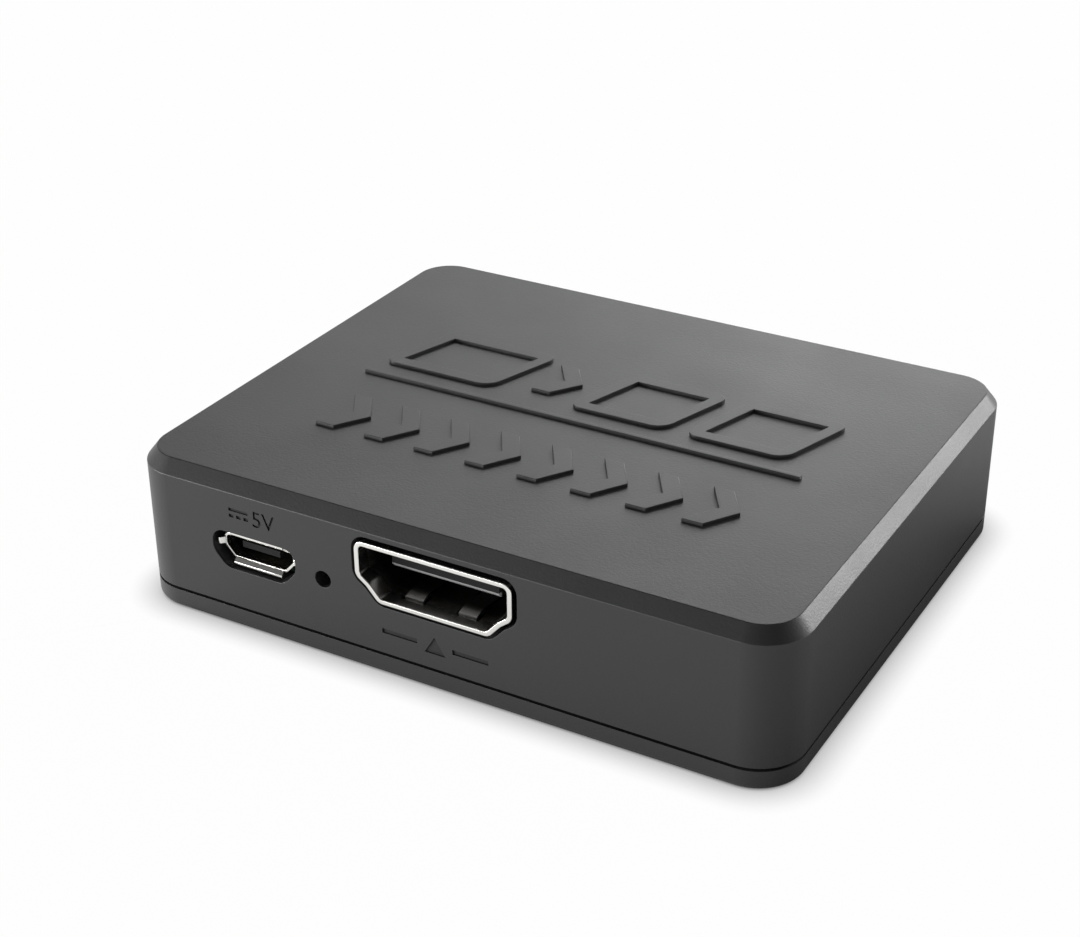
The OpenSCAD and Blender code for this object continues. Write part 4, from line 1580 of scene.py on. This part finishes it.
@dataclass
class PowerSocket(Pressing):
    """Pressed shell of the power socket, with four lips turned out round its mouth."""

    rise: float = 0.35 * MM
    width: float = 6.9 * MM
    height: float = 1.85 * MM
    sheet: float = 0.25 * MM
    length: float = 5.4 * MM
    leg_width: float = 0.9 * MM
    leg_reach: float = 2.3 * MM
    leg_place: float = 3.3 * MM
    side: float = 0.95 * MM
    set_back: float = 0.4 * MM
    soft: float = 0.05 * MM
    tab_len: float = 0.42 * MM
    tab_root: float = 0.4 * MM
    tab_flare: float = 0.38 * MM
    tab_round: float = 0.12 * MM
    tab_low: float = 2.5 * MM
    tab_high: float = 2.75 * MM
    tab_side: Point = (1.02 * MM, 1.6 * MM)

    def tab(self, name: str, low: Point, high: Point, out: Point) -> Obj:
        """Models one lip that is turned outwards at the mouth.

        Args:
            name: Name of the lip.
            low: Its lowest x and z.
            high: Its highest x and z.
            out: How far its front edge moves along x and z.

        Returns:
            The lip, its root inside the sheet behind it.
        """
        strip = Bench.block(name, (low[0], 0.0, low[1]), (high[0], self.tab_len + self.tab_root, high[1]))
        Bench.slice(strip, Axis.Y, self.tab_len)
        Bench.pick(strip, Part.VERT, lambda c: c.y < EPS)
        Bench.move((out[0], 0, out[1]))
        along = 2 if out[0] else 0
        Bench.pick(strip, Part.EDGE, lambda a, b: all(abs(c.y - self.tab_len) < EPS for c in (a, b))
                   and abs(a[along] - b[along]) > EPS)
        Bench.bevel(self.tab_round, 3)
        Bench.pick(strip, Part.EDGE, lambda a, b: max(a.y, b.y) < EPS)
        Bench.bevel(self.soft, 3)
        return strip

    def build(self, name: str) -> Obj:
        """Models the shell with the four lips of its mouth.

        Args:
            name: Name of the shell.

        Returns:
            The shell, in the socket's own place.
        """
        sheet, flare = self.sheet, self.tab_flare
        shell = POWER_FORM.tube(name, sheet, self.length - self.tab_len, sheet, sheet, (self.soft, self.soft))
        Bench.pick_all(shell)
        Bench.move((0, self.tab_len, 0))
        thin, thick = SKIN, sheet - SKIN
        half, top = self.width / 2, self.height
        z0, z1 = self.tab_side
        lips = [self.tab("lip_low", (-self.tab_low, -thick), (self.tab_low, -thin), (0, -flare)),
                self.tab("lip_high", (-self.tab_high, top + thin), (self.tab_high, top + thick), (0, flare)),
                self.tab("lip_left", (-half - thick, z0), (-half - thin, z1), (-flare, 0)),
                self.tab("lip_right", (half + thin, z0), (half + thick, z1), (flare, 0))]
        for lip in lips:
            Bench.combine(shell, lip, Join.UNION, fine=True)
        for way in (-1, 1):
            Bench.combine(shell, self.leg(way, self.leg_place, self.side + sheet), Join.UNION)
        return shell

    def dress(self, case: Case, wardrobe: Wardrobe) -> None:
        """Puts the shell in the front wall and finishes it.

        Args:
            case: What it looks out of.
            wardrobe: Where the finishes hang.
        """
        shift = (case.power_x, -case.depth / 2 + self.set_back, case.board_top + self.rise)
        wardrobe.dress(Bench.place(self.build("power_pressing"), 0.0, shift), NICKEL, "power_shell")


@dataclass
class Innards:
    """CAD nodes that keep their solids and only get a finish."""

    finishes: tuple[tuple[Finish, tuple[str, ...]], ...] = (
        (BOARD, ("circuit_board",)),
        (SOCKET_BLACK, ("video_in_insulator", "video_out_1_insulator", "video_out_2_insulator",
                        "power_insulator")),
        (GOLD, ("video_in_contacts", "video_out_1_contacts", "video_out_2_contacts", "power_contacts")),
        (LAMP_WHITE, ("lamp_body",)),
        (LENS, ("lamp_lens",)),
        (CHIP_EPOXY, ("splitter_chip", "memory_chip", "regulator", "core_regulator", "crystal_base",
                      "filter_capacitor_base", "surge_arrays")),
        (TIN, ("lamp_leads", "splitter_chip_leads", "memory_chip_leads", "regulator_leads",
               "core_regulator_leads", "crystal_leads", "inductor_terminals", "filter_capacitor_leads",
               "capacitor_ends", "resistor_ends", "surge_array_leads")),
        (CAN_STEEL, ("crystal_can",)),
        (CAN_ALUMINIUM, ("filter_capacitor_can",)),
        (FERRITE, ("inductor",)),
        (TAN_CERAMIC, ("capacitors",)),
        (BLACK_GLAZE, ("resistors",)))

    def dress(self, wardrobe: Wardrobe) -> None:
        """Finishes every node.

        Args:
            wardrobe: Where the finishes hang.
        """
        for finish, names in self.finishes:
            for name in names:
                wardrobe.put(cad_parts[name], finish)
                LOG.info("%s finished with %s", name, finish.name)


def heading(side: float, rise: float) -> Vector:
    """Gives a direction.

    Args:
        side: Its bearing in degrees, from straight behind and to the right.
        rise: Its height over the floor in degrees.

    Returns:
        A vector of length 1.
    """
    bearing, height = math.radians(side), math.radians(rise)
    level = math.cos(height)
    return Vector((math.sin(bearing) * level, math.cos(bearing) * level, math.sin(height)))


@dataclass(frozen=True)
class Lamp:
    """A soft box that faces the object: bearing and height in degrees, distance, size and cloth level."""

    name: str
    side: float
    rise: float
    away: float
    size: Point
    level: float

    def hang(self) -> None:
        """Hangs the lamp; white paper has a level of 1."""
        way = heading(self.side, self.rise)
        data = bpy.data.lights.new(self.name, "AREA")
        data.shape = "RECTANGLE"
        data.size, data.size_y = self.size
        data.energy = self.level * math.pi * self.size[0] * self.size[1]
        obj = bpy.data.objects.new(self.name, data)
        bpy.context.collection.objects.link(obj)
        obj.location = way * self.away
        obj.rotation_euler = (-way).to_track_quat("-Z", "Y").to_euler()


@dataclass(frozen=True)
class Studio:
    """Floor, lights and camera."""

    azimuth: float = 29.802
    elevation: float = 28.22
    roll: float = -0.407
    focal: float = 2019.479
    image_width: float = 1080.0
    sensor: float = 36.0
    clip: Point = (0.005, 20.0)
    distance: float = 184.934 * MM
    target: Vec = (-4.77 * MM, 0.81 * MM, 7.441 * MM)
    floor_size: float = 6.0
    floor_paint: Vec = (0.6, 0.6, 0.6)
    whiteness: float = 0.985
    touch: float = 3.0 * MM
    touch_depth: float = 0.8
    cast: float = 40.0 * MM
    cast_depth: float = 3.0
    key: Point = (-120.0, 25.0)
    wall: Point = (12.0, 27.0)
    air: float = 0.13
    lamps: tuple[Lamp, ...] = (
        Lamp("back_box", -10.0, 16.0, 1.0, (0.5, 0.3), 3.9),
        Lamp("high_box", -31.0, 33.5, 1.0, (0.5, 0.35), 1.5),
        Lamp("mid_box", -30.0, 38.0, 1.0, (0.2, 0.2), 3.0),
        Lamp("side_strip", 36.0, 18.0, 0.9, (0.13, 0.24), 43.0),
        Lamp("front_box", -132.0, 5.0, 0.6, (0.4, 0.14), 17.8))

    def camera(self) -> None:
        """Puts the camera where the picture was taken from."""
        az, el, roll = (math.radians(a) for a in (self.azimuth, self.elevation, self.roll))
        back = Vector((math.sin(az) * math.cos(el), -math.cos(az) * math.cos(el), math.sin(el)))
        level = Vector((math.cos(az), math.sin(az), 0.0))
        above = back.cross(level)
        right = math.cos(roll) * level + math.sin(roll) * above
        up = math.cos(roll) * above - math.sin(roll) * level
        data = bpy.data.cameras.new("camera")
        data.sensor_fit = "HORIZONTAL"
        data.sensor_width = self.sensor
        data.lens = self.sensor * self.focal / self.image_width
        data.clip_start, data.clip_end = self.clip
        cam = bpy.data.objects.new("camera", data)
        bpy.context.collection.objects.link(cam)
        cam.matrix_world = Matrix((right, up, back)).transposed().to_4x4()
        cam.location = Vector(self.target) + back * self.distance
        bpy.context.scene.camera = cam

    @staticmethod
    def looks(g: Graph) -> tuple[Sock, Sock]:
        """Tells how the background is looked at; both numbers are 0 where it only lights.

        Args:
            g: The tree of the floor or the world.

        Returns:
            1 where it is seen straight, and 1 where it is seen straight or in metal and glass.
        """
        ray = g.node("ShaderNodeLightPath", {}, {})
        straight, mirrored, through = (
            Sock(g, ray.outputs[f"Is {kind} Ray"]) for kind in ("Camera", "Glossy", "Transmission"))
        return straight, straight.math("MINIMUM", straight + mirrored + through, 1.0)

    def floor(self) -> None:
        """Lays a plain pale floor that looks white, with a faint real shadow and painted shadows in its glow:
        a contact shadow where it is seen straight, a one-sided cast shadow where it is seen in metal and
        glass.
        """
        bpy.ops.object.select_all(action="DESELECT")
        bpy.ops.mesh.primitive_plane_add(size=self.floor_size, location=(0, 0, 0))
        floor = Bench.added("floor")
        g = Graph.paint("floor_paint")
        straight, looked_at = self.looks(g)
        lit_from = g.node("ShaderNodeCombineXYZ", {}, dict(enumerate(heading(*self.key))))
        near, far = (Sock(g, g.node("ShaderNodeAmbientOcclusion", {"samples": 12}, inputs).outputs["AO"])
                     for inputs in ({"Distance": self.touch},
                                    {"Distance": self.cast, "Normal": lit_from.outputs[0]}))
        # Painted shadow: the glow is dimmed by ambient occlusion near the object, and in reflections also on
        # the side away from the key light.
        light = straight * near ** self.touch_depth + (looked_at - straight) * far ** self.cast_depth
        paint = g.node("ShaderNodeBsdfDiffuse", {}, {"Color": (*self.floor_paint, 1.0)})
        glow = g.node("ShaderNodeEmission", {}, {"Strength": light})
        both = g.node("ShaderNodeMixShader", {},
                      {0: looked_at * self.whiteness, 1: paint.outputs[0], 2: glow.outputs[0]})
        g.node("ShaderNodeOutputMaterial", {}, {"Surface": both.outputs[0]})
        floor.data.materials.append(g.owner)

    def sky(self) -> None:
        """Fills in from all round: a white wall where it is seen, a softer light where it only lights."""
        world = bpy.data.worlds.new("studio_air")
        bpy.context.scene.world = world
        g = Graph(world)
        _, looked_at = self.looks(g)
        _, _, up = g.split(g.node("ShaderNodeTexCoord", {}, {}).outputs["Generated"])
        white_to, dim_from = (math.sin(math.radians(a)) for a in self.wall)
        wall = looked_at * up.climb(dim_from, white_to)
        air = g.node("ShaderNodeBackground", {}, {
            "Color": (1.0, 1.0, 1.0, 1.0), "Strength": self.air + wall * (1.0 - self.air)})
        g.node("ShaderNodeOutputWorld", {}, {"Surface": air.outputs[0]})

    def build(self) -> None:
        """Sets up the whole studio."""
        bpy.context.scene.view_settings.view_transform = "Standard"
        self.camera()
        self.floor()
        self.sky()
        for lamp in self.lamps:
            lamp.hang()


def main() -> None:
    """Builds the studio, the case, the sockets and the inner finishes."""
    logging.basicConfig(level=logging.INFO, format="%(name)s: %(message)s")
    Studio().build()
    wardrobe = Wardrobe()
    case = Case()
    shell = case.top_shell()
    Relief(case).add_to(shell)
    wardrobe.dress(shell, CASE, "top_shell")
    wardrobe.dress(case.bottom_cover(), CASE, "bottom_cover")
    VideoSocket().dress(case, wardrobe)
    PowerSocket().dress(case, wardrobe)
    Innards().dress(wardrobe)
    bpy.context.view_layer.update()


if __name__ == "__main__":
    main()
